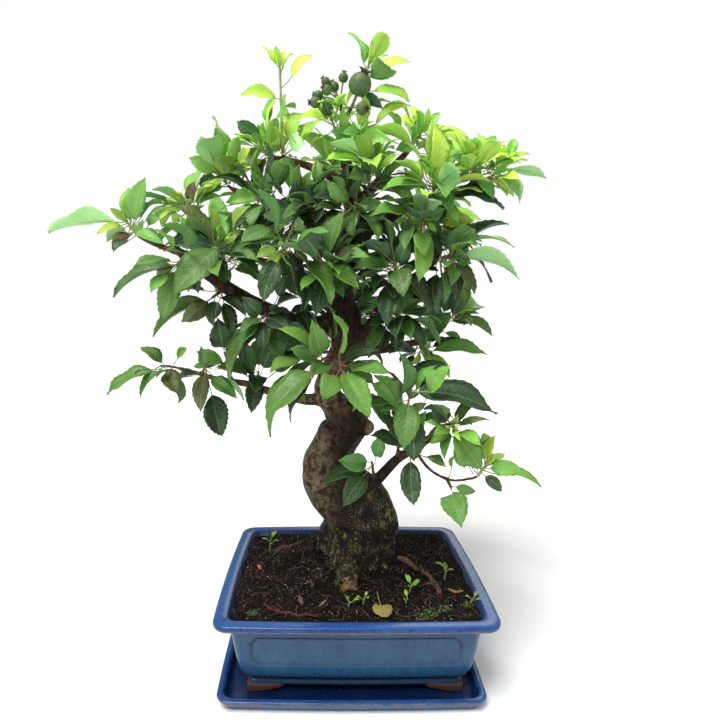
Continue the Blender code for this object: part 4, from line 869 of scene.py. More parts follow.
@dataclass(frozen=True)
class Habit:
    """The ranges in which leaves grow by the golden angle round their shoot."""

    turn: float
    pitch: tuple[float, float]
    lean: tuple[float, float]
    length: tuple[float, float]
    stalk: tuple[float, float]
    sway: float
    back: float
    share: tuple[float, float]
    shrink: float = 0
    inner: float = 0

    def leaf(self, shoot: Shoot, rank: float, number: int, draw: random.Random, tries: int) -> Leaf:
        """A leaf that leans out, smaller the more often it is tried.

        Args:
            shoot: The shoot that it grows from.
            rank: Its foot's share of the shoot, or below nought of the twig.
            number: Its number on the shoot.
            draw: The source of its own turn and size.
            tries: How often it has been drawn already.

        Returns:
            The leaf.
        """
        way = shoot.way
        angle = GOLDEN * number + draw.uniform(-self.turn, self.turn)
        out = turned(way.orthogonal().normalized(), way, angle)
        pitch = math.radians(draw.uniform(*self.pitch))
        chord = (way * math.cos(pitch) + out * math.sin(pitch) + UP * draw.uniform(*self.lean)).normalized()
        foot = shoot.foot.lerp(shoot.end, rank)
        if rank < 0:
            twig = [Vector(p[:3]) for p in shoot.twig]
            foot = twig[-1].lerp(twig[-2], -rank) + chord * TWIG_CLEAR
        length = draw.uniform(*self.length) * (1 - self.shrink * tries / FILL_TRIES)
        length *= 1 - self.inner * openness(foot)
        base = foot + chord * draw.uniform(*self.stalk)
        up = UP + Vector((draw.uniform(-self.sway, self.sway), draw.uniform(-self.back, 0.2), 0))
        face = (up - chord * up.dot(chord)).normalized()
        tone = draw.choice(palette(base))
        return Leaf(foot, base, chord, face, length, length * draw.uniform(*self.share), tone)


RULED = Habit(0.5, (35, 80), (-0.25, 0.15), (42, 60), (8, 16), 0.5, 0.8, (0.42, 0.52))
FILLING = Habit(1, (30, 95), (-0.3, 0.35), (22, 48), (5, 22), 0.6, 1.0, (0.42, 0.56), 0.4, 0.3)


class Tree:
    """Every shoot and leaf by its spray's name, each leaf settled clear of the rest."""

    def __init__(self) -> None:
        """Plans the shoots and puts wood, fruit and shoots into the air."""
        self.draw = random.Random(SHOOT_SEED)
        self.room: tuple = ()
        self.shoots = {spray.name: plan_shoot(spray.foot, spray.end) for spray in SPRAYS}
        self.leaves: dict[str, list[Leaf]] = {name: [] for name in self.shoots}
        self.blades = {name: Thicket() for name in self.shoots}
        self.thicket = Thicket()
        for solid in wood_solids(self.shoots):
            self.thicket.add("wood", solid)
        for bunch in BUNCHES:
            for solid in fruit_solids(bunch):
                self.thicket.add("fruit", solid)
        for name, shoot in self.shoots.items():
            self.thicket.add(name, limb_solid(shoot.stem, 4))

    def inside(self, solid: Solid) -> bool:
        """Finds whether a solid stays inside the tree's room and, seen from the front, the crown.

        Args:
            solid: The solid.

        Returns:
            Whether it does.
        """
        low, high = self.room
        roomy = all(low[i] < p[i] < high[i] for p in solid[0] for i in range(3))
        return roomy and all(in_crown(p) for p in solid[0][3:])

    def settle(self, name: str, make: Callable[[int], Leaf], most: int, spare: float) -> bool:
        """Keeps the first leaf that crosses nothing.

        Args:
            name: The spray that it belongs to.
            make: Gives a leaf for each number of tries.
            most: The most tries.
            spare: How far it has to stay clear of what is there.

        Returns:
            Whether a leaf was kept.
        """
        for tries in range(most):
            leaf = make(tries)
            wide = leaf.solid(spare)
            if self.room and not self.inside(wide):
                continue
            if leaf.lowest < LOWEST_LEAF or not self.blades[name].clear(None, blade_only(wide)):
                continue
            if self.thicket.clear(name, wide):
                self.thicket.add(name, leaf.solid())
                self.blades[name].add("blade", blade_only(leaf.solid()))
                self.leaves[name].append(leaf)
                return True
        return False

    def grow(self) -> None:
        """Sets the solids' leaves: those listed, then those left to the rule."""
        for spray in SPRAYS:
            for k, row in enumerate(spray.leaves):
                rank = 0.97 - 0.8 * k / len(spray.leaves)
                make = partial(placed_leaf, self.shoots[spray.name], rank, row, self.draw)
                self.settle(spray.name, make, MOST_TRIES, LEAF_CLEAR)
        for spray in SPRAYS:
            for k in range(spray.more):
                make = partial(RULED.leaf, self.shoots[spray.name], 0.9 - 0.7 * k / spray.more, k, self.draw)
                self.settle(spray.name, make, MOST_TRIES, LEAF_CLEAR)

    def thicken(self, room: tuple) -> int:
        """Adds inner and outer leaves to every spray, in between those of the solids.

        Args:
            room: The lowest and highest corners that they stay between.

        Returns:
            How many leaves were added.
        """
        draw = random.Random(FILL_SEED)
        self.room = room
        added = 0
        for name, shoot in self.shoots.items():
            for k in range(FILL_COUNTS.get(name, FILL_COUNT)):
                make = partial(FILLING.leaf, shoot, draw.uniform(-0.7, 0.98), k, draw)
                added += self.settle(name, make, FILL_TRIES, FILL_CLEAR)
        return added


class Sum(Enum):
    """What a material works out from one number or two."""

    ADD = "ADD"
    SUBTRACT = "SUBTRACT"
    MULTIPLY = "MULTIPLY"
    POWER = "POWER"
    MAXIMUM = "MAXIMUM"
    ABSOLUTE = "ABSOLUTE"
    FRACTION = "FRACT"


class Graph:
    """The node graph of one material, with a call for each kind of node that is used."""

    def __init__(self, name: str) -> None:
        """Starts a material with its shader and the object's own coordinates.

        Args:
            name: Its name.
        """
        self.material = bpy.data.materials.new(name)
        self.material.use_nodes = True
        self.tree = self.material.node_tree
        self.shader = self.tree.nodes["Principled BSDF"]
        self.place = self.node("ShaderNodeTexCoord").outputs["Object"]

    def node(self, kind: str, source: Value | None = None, **settings: str) -> Node:
        """A new node.

        Args:
            kind: What kind it is.
            source: The output that its first input reads, where it reads one.
            settings: Its settings.

        Returns:
            The node.
        """
        made = self.tree.nodes.new(kind)
        if source is not None:
            self.put(made.inputs[0], source)
        for key, value in settings.items():
            setattr(made, key, value)
        return made

    def put(self, socket: NodeSocket, value: Value) -> None:
        """Links a socket to an output, or sets it to a value.

        Args:
            socket: The socket.
            value: An output, a number or a colour.
        """
        if isinstance(value, NodeSocket):
            self.tree.links.new(value, socket)
        elif isinstance(value, tuple) and len(value) == 3 and socket.type == "RGBA":
            socket.default_value = (*value, 1)
        else:
            socket.default_value = value

    def sum(self, kind: Sum, a: Value, b: Value = 0.0) -> NodeSocket:
        """The result of a sum.

        Args:
            kind: The kind of sum.
            a: Its first number or output.
            b: Its second, where it has one.

        Returns:
            The output.
        """
        made = self.node("ShaderNodeMath", operation=kind.value)
        for socket, value in zip(made.inputs, (a, b)):
            self.put(socket, value)
        return made.outputs[0]

    def times(self, a: Value, *more: Value) -> NodeSocket:
        """Two or more numbers or outputs, multiplied.

        Args:
            a: The first.
            more: The others.

        Returns:
            The output.
        """
        for b in more:
            a = self.sum(Sum.MULTIPLY, a, b)
        return a

    def plus(self, a: Value, b: Value) -> NodeSocket:
        """Two numbers or outputs, added."""
        return self.sum(Sum.ADD, a, b)

    def minus(self, a: Value, b: Value) -> NodeSocket:
        """A number or output less another."""
        return self.sum(Sum.SUBTRACT, a, b)

    def mix(self, share: Value, a: Value, b: Value) -> NodeSocket:
        """One colour laid over another.

        Args:
            share: How much of the second is seen.
            a: The first colour.
            b: The second colour.

        Returns:
            The colour's output.
        """
        made = self.node("ShaderNodeMix", data_type="RGBA")
        for socket, value in ((0, share), (6, a), (7, b)):
            self.put(made.inputs[socket], value)
        return made.outputs[2]

    def ease(self, value: Value, low: float, high: float, to: Sequence[float] = (0.0, 1.0)) -> NodeSocket:
        """A value brought smoothly from a range to another.

        Args:
            value: The output.
            low: Where its range starts.
            high: Where it ends.
            to: The other range.

        Returns:
            The new value's output.
        """
        made = self.node("ShaderNodeMapRange", interpolation_type="SMOOTHSTEP")
        for socket, setting in zip(made.inputs, (value, low, high, *to)):
            self.put(socket, setting)
        return made.outputs[0]

    def tints(self, colour: Value, *rows: tuple) -> NodeSocket:
        """A colour with tones laid over it, one after the other.

        Args:
            colour: The colour.
            rows: For each tone an output, where its range starts and ends, the most share and the tone.

        Returns:
            The colour's output.
        """
        for value, low, high, share, tone in rows:
            colour = self.mix(self.ease(value, low, high, (0.0, share)), colour, tone)
        return colour

    def parts(self, source: NodeSocket) -> tuple[NodeSocket, ...]:
        """The x, y and z of some coordinates."""
        return tuple(self.node("ShaderNodeSeparateXYZ", source).outputs)

    def stretch(self, *scale: float) -> NodeSocket:
        """The object's coordinates, scaled along each axis.

        Args:
            scale: How much finer a pattern gets along x, y and z.

        Returns:
            The output.
        """
        made = self.node("ShaderNodeMapping", self.place)
        made.inputs["Scale"].default_value = scale
        return made.outputs[0]

    def noise(
        self, scale: float, detail: float = 4, rough: float = 0.55,
        source: NodeSocket | None = None, bend: float = 0,
    ) -> NodeSocket:
        """Cloudy noise from nought to one.

        Args:
            scale: Features to the metre.
            detail: How many finer layers lie in it.
            rough: How strong those are.
            source: The coordinates to read, or none for the object's.
            bend: How much it is warped.

        Returns:
            The noise's output.
        """
        made = self.node("ShaderNodeTexNoise", source or self.place)
        names = ("Scale", "Detail", "Roughness", "Distortion")
        for key, value in zip(names, (scale, detail, rough, bend)):
            made.inputs[key].default_value = value
        return made.outputs["Fac"]

    def cells(self, scale: float) -> Node:
        """A cell pattern, of which the distance or colour is read.

        Args:
            scale: Cells to the metre.

        Returns:
            The node.
        """
        made = self.node("ShaderNodeTexVoronoi", self.place)
        made.inputs["Scale"].default_value = scale
        return made

    def layer(self, name: str, colour: bool = False) -> NodeSocket:
        """A layer of the mesh, as a number or as a colour."""
        made = self.node("ShaderNodeAttribute", attribute_name=name)
        return made.outputs["Color" if colour else "Fac"]

    def bump(self, height: NodeSocket, strength: float, distance: float) -> None:
        """Relief on the surface.

        Args:
            height: The output that gives the height.
            strength: Its share, from nought to one.
            distance: Its depth in metres.
        """
        made = self.node("ShaderNodeBump")
        made.inputs["Strength"].default_value = strength
        made.inputs["Distance"].default_value = distance
        self.put(made.inputs["Height"], height)
        self.put(self.shader.inputs["Normal"], made.outputs[0])

    def finish(self, colour: Value, roughness: Value, **fixed: float) -> Material:
        """Sets the shader.

        Args:
            colour: The colour.
            roughness: The roughness.
            fixed: The numbers that are the same all over the surface.

        Returns:
            The material.
        """
        self.put(self.shader.inputs["Base Color"], colour)
        self.put(self.shader.inputs["Roughness"], roughness)
        for key, value in fixed.items():
            self.shader.inputs[key.replace("_", " ").title().replace("Ior", "IOR")].default_value = value
        return self.material


@dataclass(frozen=True)
class LeafFinish:
    """A leaf's skin: its own tone with paler veins, faint quilting and a dull pale underside."""

    name: str = "leaf_skin"
    veins: float = 8.0
    gloss: float = 0.42
    vein: Colour = (0.30, 0.46, 0.13)
    strength: float = 0.42

    def build(self) -> Material:
        """The material, whose veins follow the blade's own UV map."""
        g = Graph(self.name)
        tone, seed, under = g.layer("tone", colour=True), g.layer("seed"), g.layer("under")
        along, across, _ = g.parts(g.node("ShaderNodeUVMap", uv_map="blade").outputs[0])
        away = g.times(g.sum(Sum.ABSOLUTE, g.minus(across, 0.5)), 2.0)
        lean = g.times(g.sum(Sum.POWER, away, 1.3), 0.24)
        phase = g.times(g.minus(along, lean), self.veins)
        saw = g.sum(Sum.ABSOLUTE, g.minus(g.sum(Sum.FRACTION, phase), 0.5))
        line = g.times(g.ease(saw, 0.43, 0.5, (0.0, 0.4)), g.ease(away, 0.95, 0.5))
        vein = g.sum(Sum.MAXIMUM, line, g.ease(away, 0.08, 0.015))
        cloud, fine = g.noise(60, 3, 0.6), g.noise(380, 3, 0.6)
        dark, pale = g.mix(0.55, tone, (0.004, 0.014, 0.003)), g.mix(0.55, tone, self.vein)
        top = g.tints(tone, (cloud, 0.4, 0.75, 0.5, dark), (fine, 0.45, 0.75, 0.12, (0.30, 0.46, 0.10)))
        top = g.mix(g.times(vein, self.strength), top, pale)
        top = g.tints(top, (away, 0.93, 1.0, 0.4, pale))
        spotted = g.times(g.ease(g.cells(52).outputs["Distance"], 0.2, 0.1), g.ease(seed, 0.86, 0.9))
        top = g.mix(g.times(spotted, 0.85), top, (0.11, 0.04, 0.014))
        scorch = g.times(g.ease(along, 0.86, 0.97), g.ease(seed, 0.9, 0.95))
        top = g.mix(scorch, top, (0.2, 0.1, 0.035))
        lower = g.mix(g.times(vein, 0.5), g.mix(0.2, tone, (0.22, 0.40, 0.19)), (0.36, 0.5, 0.25))
        quilt = g.times(g.ease(saw, 0.5, 0.2), g.ease(away, 1.0, 0.4))
        relief = g.minus(g.times(quilt, 0.8), g.times(vein, 0.5))
        g.bump(g.plus(relief, g.times(fine, 0.2)), 0.35, 0.0006)
        rough = g.plus(g.times(under, 0.3), g.ease(cloud, 0.3, 0.7, (self.gloss, self.gloss + 0.14)))
        return g.finish(g.mix(under, top, lower), rough, specular_ior_level=0.42)


@dataclass(frozen=True)
class StalkFinish:
    """Leaf stalks and young stems: a pale green that turns to orange and red-brown."""

    name: str = "stalk_skin"

    def build(self) -> Material:
        """The material."""
        g = Graph(self.name)
        fine = g.noise(600, 3, 0.6)
        g.bump(fine, 0.3, 0.0003)
        tone = g.layer("tone", colour=True)
        return g.finish(g.tints(tone, (fine, 0.35, 0.7, 0.35, (0.1, 0.06, 0.03))), 0.5)


@dataclass(frozen=True)
class BarkFinish:
    """Bark: pinkish brown with lichen on the trunk, mossy at its foot, dark and fibrous above, with painted
    shade on its right side, under the crown, in its cracks and on its foot's right side, and a painted
    highlight on the neck's left side.
    """

    name: str = "apple_bark"
    pink: Colour = (0.118, 0.068, 0.043)
    brown: Colour = (0.034, 0.021, 0.014)
    umber: Colour = (0.018, 0.011, 0.009)
    deep: Colour = (0.008, 0.006, 0.005)
    moss: Colour = (0.040, 0.046, 0.013)
    lichen: Colour = (0.190, 0.152, 0.080)
    root: Colour = (0.135, 0.085, 0.052)

    def build(self) -> Material:
        """The material, from the trunk up to the twigs and down to the mossy foot and roots."""
        g = Graph(self.name)
        x, _, z = g.parts(g.place)
        thick, crack, cut = g.layer("thick"), g.layer("crack"), g.layer("cut")
        broad = g.noise(32, 4, 0.6, bend=0.7)
        patch = g.noise(75, 5, 0.65, bend=0.5)
        middle = g.noise(190, 5, 0.65)
        fine = g.noise(620, 4, 0.7)
        fibre = g.noise(120, 5, 0.65, g.stretch(2.6, 2.6, 0.5), 0.5)
        colour = g.tints(
            self.brown, (broad, 0.42, 0.6, 1, self.pink), (middle, 0.44, 0.66, 0.85, self.umber),
            (fine, 0.54, 0.68, 0.55, (0.21, 0.14, 0.088)),
        )
        left = g.times(g.ease(x, -0.010, -0.032), g.ease(z, 0.26, 0.22))
        grey = g.times(left, g.ease(middle, 0.66, 0.40), g.ease(patch, 0.60, 0.44, (0.25, 0.9)))
        colour = g.tints(g.mix(grey, colour, self.lichen), (patch, 0.53, 0.65, 0.8, self.deep))
        # Painted shade: the trunk's right side, below the crown, is darkened towards near black.
        right = g.times(g.ease(x, -0.036, -0.006, (0.0, 0.88)), g.ease(z, 0.27, 0.23))
        colour = g.mix(right, colour, (0.009, 0.0075, 0.0045))
        # Painted highlight: the neck's left side, where the light falls, is lightened in patches of pale
        # bark.
        bare = g.times(g.ease(z, 0.245, 0.275), g.ease(x, 0.004, -0.022, (0.0, 0.8)))
        bare = g.times(bare, g.ease(middle, 0.60, 0.42))
        colour = g.mix(bare, colour, (0.270, 0.170, 0.108))
        # The dark fibrous bark at the top of the trunk is partly its own colour and partly painted shade
        # under the crown.
        shade = g.tints(
            (0.060, 0.030, 0.021), (fibre, 0.4, 0.62, 1, self.deep),
            (fine, 0.5, 0.7, 0.4, (0.14, 0.08, 0.055)),
        )
        young = g.tints((0.15, 0.065, 0.038), (middle, 0.4, 0.65, 1, (0.05, 0.030, 0.022)))
        colour = g.tints(colour, (z, 0.300, 0.345, 1, shade), (thick, 0.0055, 0.0035, 1, young))
        drip = g.noise(150, 4, 0.6, g.stretch(1.5, 1.5, 0.22), 0.3)
        green = g.tints(
            (0.008, 0.007, 0.005), (middle, 0.46, 0.62, 1, self.moss),
            (broad, 0.5, 0.62, 0.8, (0.032, 0.022, 0.014)),
            (drip, 0.55, 0.64, 0.7, (0.26, 0.20, 0.10)), (fine, 0.55, 0.64, 0.9, (0.34, 0.27, 0.14)),
            (patch, 0.47, 0.57, 0.9, (0.007, 0.005, 0.004)),
        )
        # The dark mossy foot reaches higher on the right side: moss, and painted shade on that side.
        edge = g.minus(g.plus(z, g.times(g.minus(broad, 0.5), 0.09)), g.ease(x, -0.02, 0.025, (0.0, 0.034)))
        colour = g.tints(colour, (edge, 0.166, 0.126, 1, green))
        fibred = g.tints(self.root, (fibre, 0.42, 0.6, 1, (0.045, 0.026, 0.018)))
        slim = g.times(g.ease(thick, 0.0065, 0.0045), g.ease(z, 0.11, 0.10))
        # The cracks are painted near black: darker inner bark, and painted shade in them.
        colour = g.mix(g.times(crack, 0.85), g.mix(slim, colour, fibred), self.deep)
        wood = g.tints((0.56, 0.35, 0.17), (g.noise(260, 4, 0.6), 0.45, 0.65, 1, (0.26, 0.14, 0.07)))
        relief = g.plus(g.plus(g.times(fibre, 0.5), g.times(fine, 0.4)), g.times(middle, 0.9))
        g.bump(relief, 0.7, 0.0024)
        rough = g.ease(middle, 0.3, 0.7, (0.5, 0.85))
        return g.finish(g.mix(cut, colour, wood), rough, specular_ior_level=0.15)


@dataclass(frozen=True)
class GlazeFinish:
    """A running blue glaze: darker where it pools and where shade is painted, worn to tan on the sharpest
    edges.
    """

    name: str = "pot_glaze"
    body: Colour = (0.018, 0.083, 0.175)
    rich: Colour = (0.009, 0.040, 0.165)
    navy: Colour = (0.003, 0.009, 0.045)
    tan: Colour = (0.30, 0.20, 0.12)
    rim_top: tuple[float, float] = (0.0862, 0.0871)

    def build(self) -> Material:
        """The material: body, richer rim, specks, pools and painted shade, and worn edges."""
        g = Graph(self.name)
        pool, worn, rim = g.layer("pool"), g.layer("worn"), g.layer("rim")
        broad = g.noise(22, 4, 0.55, bend=0.4)
        run = g.noise(60, 5, 0.65, g.stretch(1.6, 1.6, 0.5), 0.3)
        speck = g.noise(900, 3, 0.7)
        mottle = g.noise(260, 5, 0.7)
        colour = g.tints(
            self.body, (run, 0.35, 0.65, 1, (0.011, 0.060, 0.142)),
            (broad, 0.45, 0.7, 0.45, (0.034, 0.112, 0.190)),
            (mottle, 0.48, 0.66, 0.4, (0.020, 0.062, 0.175)),
        )
        deep = g.tints(
            self.rich, (broad, 0.4, 0.62, 1, (0.018, 0.068, 0.205)),
            (mottle, 0.48, 0.64, 0.85, (0.004, 0.015, 0.085)),
        )
        flat = g.times(rim, g.ease(g.parts(g.place)[2], *self.rim_top, (0.0, 0.75)))
        colour = g.mix(flat, g.mix(rim, colour, deep), (0.020, 0.082, 0.260))
        # Navy where the glaze pools and where shade is painted in recesses and under edges.
        colour = g.mix(pool, g.tints(colour, (speck, 0.56, 0.72, 0.4, (0.13, 0.22, 0.36))), self.navy)
        colour = g.mix(g.times(worn, g.ease(mottle, 0.3, 0.55, (0.3, 1.0))), colour, self.tan)
        g.bump(g.plus(g.times(run, 0.5), g.times(mottle, 0.16)), 0.4, 0.0012)
        rough = g.plus(g.times(worn, 0.3), g.ease(mottle, 0.3, 0.8, (0.2, 0.4)))
        return g.finish(colour, rough, specular_ior_level=0.35, coat_weight=0.08, coat_roughness=0.1)


@dataclass(frozen=True)
class ClayFinish:
    """Bare fired clay of the feet."""

    name: str = "bare_clay"
    clay: Colour = (0.075, 0.024, 0.015)

    def build(self) -> Material:
        """The material."""
        g = Graph(self.name)
        fine = g.noise(900, 3, 0.7)
        g.bump(fine, 0.4, 0.0004)
        colour = g.tints(
            self.clay, (g.noise(60, 4, 0.6), 0.35, 0.65, 1, (0.04, 0.018, 0.014)),
            (fine, 0.55, 0.7, 0.4, (0.16, 0.08, 0.05)),
        )
        return g.finish(colour, 0.72)


@dataclass(frozen=True)
class SoilFinish:
    """Dark damp compost with brown fibre, and pale and rusty specks."""

    name: str = "compost"

    def build(self) -> Material:
        """The material."""
        g = Graph(self.name)
        crumb = g.noise(430, 5, 0.75)
        strand = g.noise(160, 4, 0.7, bend=2.5)
        cell = g.cells(620)
        pick = g.node("ShaderNodeSeparateColor", cell.outputs["Color"]).outputs
        colour = g.tints(
            (0.0035, 0.003, 0.0025), (g.noise(50, 5, 0.65), 0.4, 0.62, 1, (0.010, 0.007, 0.005)),
            (crumb, 0.56, 0.68, 0.8, (0.060, 0.038, 0.025)), (strand, 0.6, 0.68, 0.6, (0.070, 0.038, 0.022)),
        )
        core = g.ease(cell.outputs["Distance"], 0.5, 0.3)
        rust, pale = g.times(g.ease(pick[1], 0.9, 0.95), core), g.times(g.ease(pick[0], 0.90, 0.94), core)
        colour = g.mix(g.times(rust, 0.7), colour, (0.13, 0.055, 0.025))
        colour = g.mix(g.times(pale, 0.8), colour, (0.26, 0.20, 0.13))
        g.bump(g.plus(crumb, g.times(strand, 0.6)), 1.0, 0.004)
        return g.finish(colour, g.ease(crumb, 0.3, 0.7, (0.7, 1.0)), specular_ior_level=0.12)


@dataclass(frozen=True)
class BitFinish:
    """Loose bits on the soil, each in its own tone, with a grain."""

    name: str = "soil_bits"

    def build(self) -> Material:
        """The material."""
        g = Graph(self.name)
        tone, grain = g.layer("tone", colour=True), g.noise(900, 3, 0.7)
        colour = g.tints(g.mix(0.5, tone, (0.01, 0.008, 0.006)), (grain, 0.4, 0.65, 1, tone))
        g.bump(grain, 0.6, 0.0006)
        return g.finish(colour, 0.85, specular_ior_level=0.15)


@dataclass(frozen=True)
class FruitFinish:
    """The skin of a small unripe apple: dull green, darker and speckled towards its stalk."""

    name: str = "apple_skin"

    def build(self) -> Material:
        """The material."""
        g = Graph(self.name)
        broad, down = g.noise(130, 3, 0.6), g.noise(1600, 3, 0.7)
        colour = g.tints(
            (0.045, 0.090, 0.022), (broad, 0.35, 0.65, 1, (0.085, 0.145, 0.036)),
            (g.layer("far"), 0.1, 0.9, 0.35, (0.12, 0.19, 0.07)),
            (g.cells(900).outputs["Distance"], 0.14, 0.08, 0.55, (0.26, 0.32, 0.16)),
            (down, 0.5, 0.7, 0.25, (0.3, 0.36, 0.25)),
        )
        g.bump(down, 0.25, 0.0003)
        return g.finish(colour, g.ease(broad, 0.3, 0.7, (0.42, 0.6)), specular_ior_level=0.4)


@dataclass(frozen=True)
class MeshFinish:
    """The black plastic of the drain meshes, a little dusty."""

    name: str = "mesh_plastic"

    def build(self) -> Material:
        """The material."""
        g = Graph(self.name)
        dust = g.noise(300, 4, 0.6)
        g.bump(dust, 0.2, 0.0004)
        return g.finish(g.tints((0.02, 0.02, 0.02), (dust, 0.5, 0.75, 0.5, (0.09, 0.07, 0.05))), 0.6)


class Finishes:
    """Every finish, built once."""

    def __init__(self) -> None:
        """Builds them."""
        self.leaf = LeafFinish().build()
        self.dry = LeafFinish("dry_leaf", 5.0, 0.55, (0.16, 0.075, 0.022), 0.75).build()
        self.stalk = StalkFinish().build()
        self.bark = BarkFinish().build()
        self.glaze = GlazeFinish().build()
        self.clay = ClayFinish().build()
        self.soil = SoilFinish().build()
        self.bits = BitFinish().build()
        self.fruit = FruitFinish().build()
        self.mesh = MeshFinish().build()


@dataclass
class Part:
    """A part of the bonsai, which is dressed in the shared finishes."""

    finishes: Finishes


def stood(name: str, data: ID) -> Object:
    """A new object of the scene that carries a mesh, a lamp or a camera.

    Args:
        name: Its name.
        data: What it carries.

    Returns:
        The object.
    """
    item = bpy.data.objects.new(name, data)
    bpy.context.scene.collection.objects.link(item)
    return item


def meshed(name: str, bm: BMesh, scale: float = 1) -> Mesh:
    """Makes a mesh of what a bmesh holds.

    Args:
        name: Its name.
        bm: The bmesh, which is freed.
        scale: Its scale.

    Returns:
        The mesh.
    """
    if scale != 1:
        bmesh.ops.scale(bm, vec=(scale, scale, scale), verts=bm.verts)
    mesh = bpy.data.meshes.new(name)
    bm.to_mesh(mesh)
    bm.free()
    return mesh


def pour(target: BMesh, part: BMesh) -> None:
    """Adds a small mesh to a large one, with its layers.

    Args:
        target: The large mesh.
        part: The small one, which is freed.
    """
    mesh = meshed("part", part)
    target.from_mesh(mesh)
    bpy.data.meshes.remove(mesh)


def tone_mesh() -> BMesh:
    """An empty mesh whose points carry a tone."""
    bm = bmesh.new()
    bm.verts.layers.float_color.new("tone")
    return bm


def paint(bm: BMesh, verts: Iterable, tone: Sequence[float]) -> None:
    """Gives points of a mesh their tone.

    Args:
        bm: The mesh.
        verts: The points.
        tone: The tone.
    """
    layer = bm.verts.layers.float_color["tone"]
    for vert in verts:
        vert[layer] = (*tone, 1)


def outwards(bm: BMesh) -> BMesh:
    """The mesh, with its faces turned outwards."""
    bmesh.ops.recalc_face_normals(bm, faces=bm.faces)
    return bm


def settled(
    name: str, bm: BMesh, materials: Sequence[Material], nodes: Sequence[str],
    smooth: bool = True,
) -> Object:
    """Ends a piece's mesh in metres, dresses it and lets it stand for its nodes.

    Args:
        name: The piece's name.
        bm: Its mesh in millimetres, which is freed.
        materials: Its materials, in the order of the faces' numbers.
        nodes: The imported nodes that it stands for.
        smooth: Whether it is shaded smooth.

    Returns:
        The piece.
    """
    mesh = meshed(name, bm, MM)
    for material in materials:
        mesh.materials.append(material)
    if smooth:
        mesh.shade_smooth()
    piece = stood(name, mesh)
    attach(piece, ROOT)
    if nodes:
        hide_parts(*nodes)
    log.info("%s: %d faces for %s", name, len(mesh.polygons), ", ".join(nodes) or "no node")
    return piece


def rounded_line(points: Line, steps: int) -> Line:
    """A smooth curve through points.

    Args:
        points: The points, of any count of numbers each.
        steps: How many points it has for each span.

    Returns:
        Its points.
    """
    rows = [np.array(p, float) for p in points]
    rows = [2 * rows[0] - rows[1], *rows, 2 * rows[-1] - rows[-2]]
    found = []
    for a, b, c, d in zip(rows, rows[1:], rows[2:], rows[3:]):
        for k in range(steps):
            t = k / steps
            curve = 2 * b + (c - a) * t + (2 * a - 5 * b + 4 * c - d) * t * t
            found.append(tuple(0.5 * (curve + (3 * b - a - 3 * c + d) * t**3)))
    return [*found, tuple(rows[-2])]


def softened(points: Line, times: int = 2) -> Line:
    """A profile with its corners cut.

    Args:
        points: The profile, whose two ends stay.
        times: How often they are cut again.

    Returns:
        Its points.
    """
    rows = [np.array(p, float) for p in points]
    for _ in range(times):
        cut = [rows[0]]
        for a, b in zip(rows, rows[1:]):
            cut += [a * 0.75 + b * 0.25, a * 0.25 + b * 0.75]
        rows = [*cut, rows[-1]]
    return [tuple(row) for row in rows]


def draw_rings(bm: BMesh, rings: Sequence[Sequence]) -> list[BMVert]:
    """Extrudes a skin from ring to ring and closes both ends.

    Args:
        bm: The mesh that it is added to.
        rings: The rings, of equal counts of places.

    Returns:
        The skin's points.
    """
    ring = bmesh.ops.create_circle(bm, cap_ends=True, segments=len(rings[0]), radius=1)["verts"]
    found = []
    for i, places in enumerate(rings):
        if i:
            around = set(ring)
            edges = [e for e in {e for v in ring for e in v.link_edges} if set(e.verts) <= around]
            grown = bmesh.ops.extrude_edge_only(bm, edges=edges)["geom"]
            new = {item for item in grown if isinstance(item, BMVert)}
            ring = [next(e.other_vert(v) for e in v.link_edges if e.other_vert(v) in new) for v in ring]
        for vert, place in zip(ring, places):
            vert.co = place
        found += ring
    bmesh.ops.contextual_create(bm, geom=ring)
    return found


def sweep(bm: BMesh, line: Line, sides: int, lobes: Lobes | None = None) -> list[BMVert]:
    """A limb drawn along (x, y, z, radius) points.

    Args:
        bm: The mesh that it is added to.
        line: The middle line and its radii.
        sides: How many sides the limb has.
        lobes: The share of the radius at a place and an angle round the limb.

    Returns:
        The limb's points.
    """
    return draw_rings(bm, rings_along(line, sides, lobes))


SHOULDER = ((16, 14, 158, 17), (33, 6, 143, 15), (38, 2, 124, 12))
CUT_FACES = ((Vector((20, -4, 241)), 9.0, 0.45), (Vector((-2, -50, 88)), 12.5, 1))
STUMP = ((0, -10, 90, 18), (-4, -26, 92, 14), (-7, -40, 93.5, 12.5), (-7, -46, 92, 11))
STUB = ((6, 12, 240, 10), (14, 2, 241, 8.5), (19, -4, 242, 7))
ROOT_FORK = ((84, -30, 86.5, 2.6), (76, -30, 87.5, 2), (68, -33, 86.5, 1.5))
SLIMMER = {"low_right": 0.8, "low_right_tip": 0.6}
THINNEST = 1.6
NECK_HEIGHT = (222, 276)
NECK_SIDES = (-40, 24)
NECK_PASSES = 24
HOLLOW = Vector((15, 4, 207))
HOLLOW_REACH = 25
HOLLOW_DEPTH = 15


def smoothed(bm: BMesh, verts: Sequence, times: int) -> None:
    """Smooths some points of a mesh a number of times."""
    for _ in range(times):
        bmesh.ops.smooth_vert(bm, verts=verts, factor=0.5, use_axis_x=True, use_axis_y=True, use_axis_z=True)


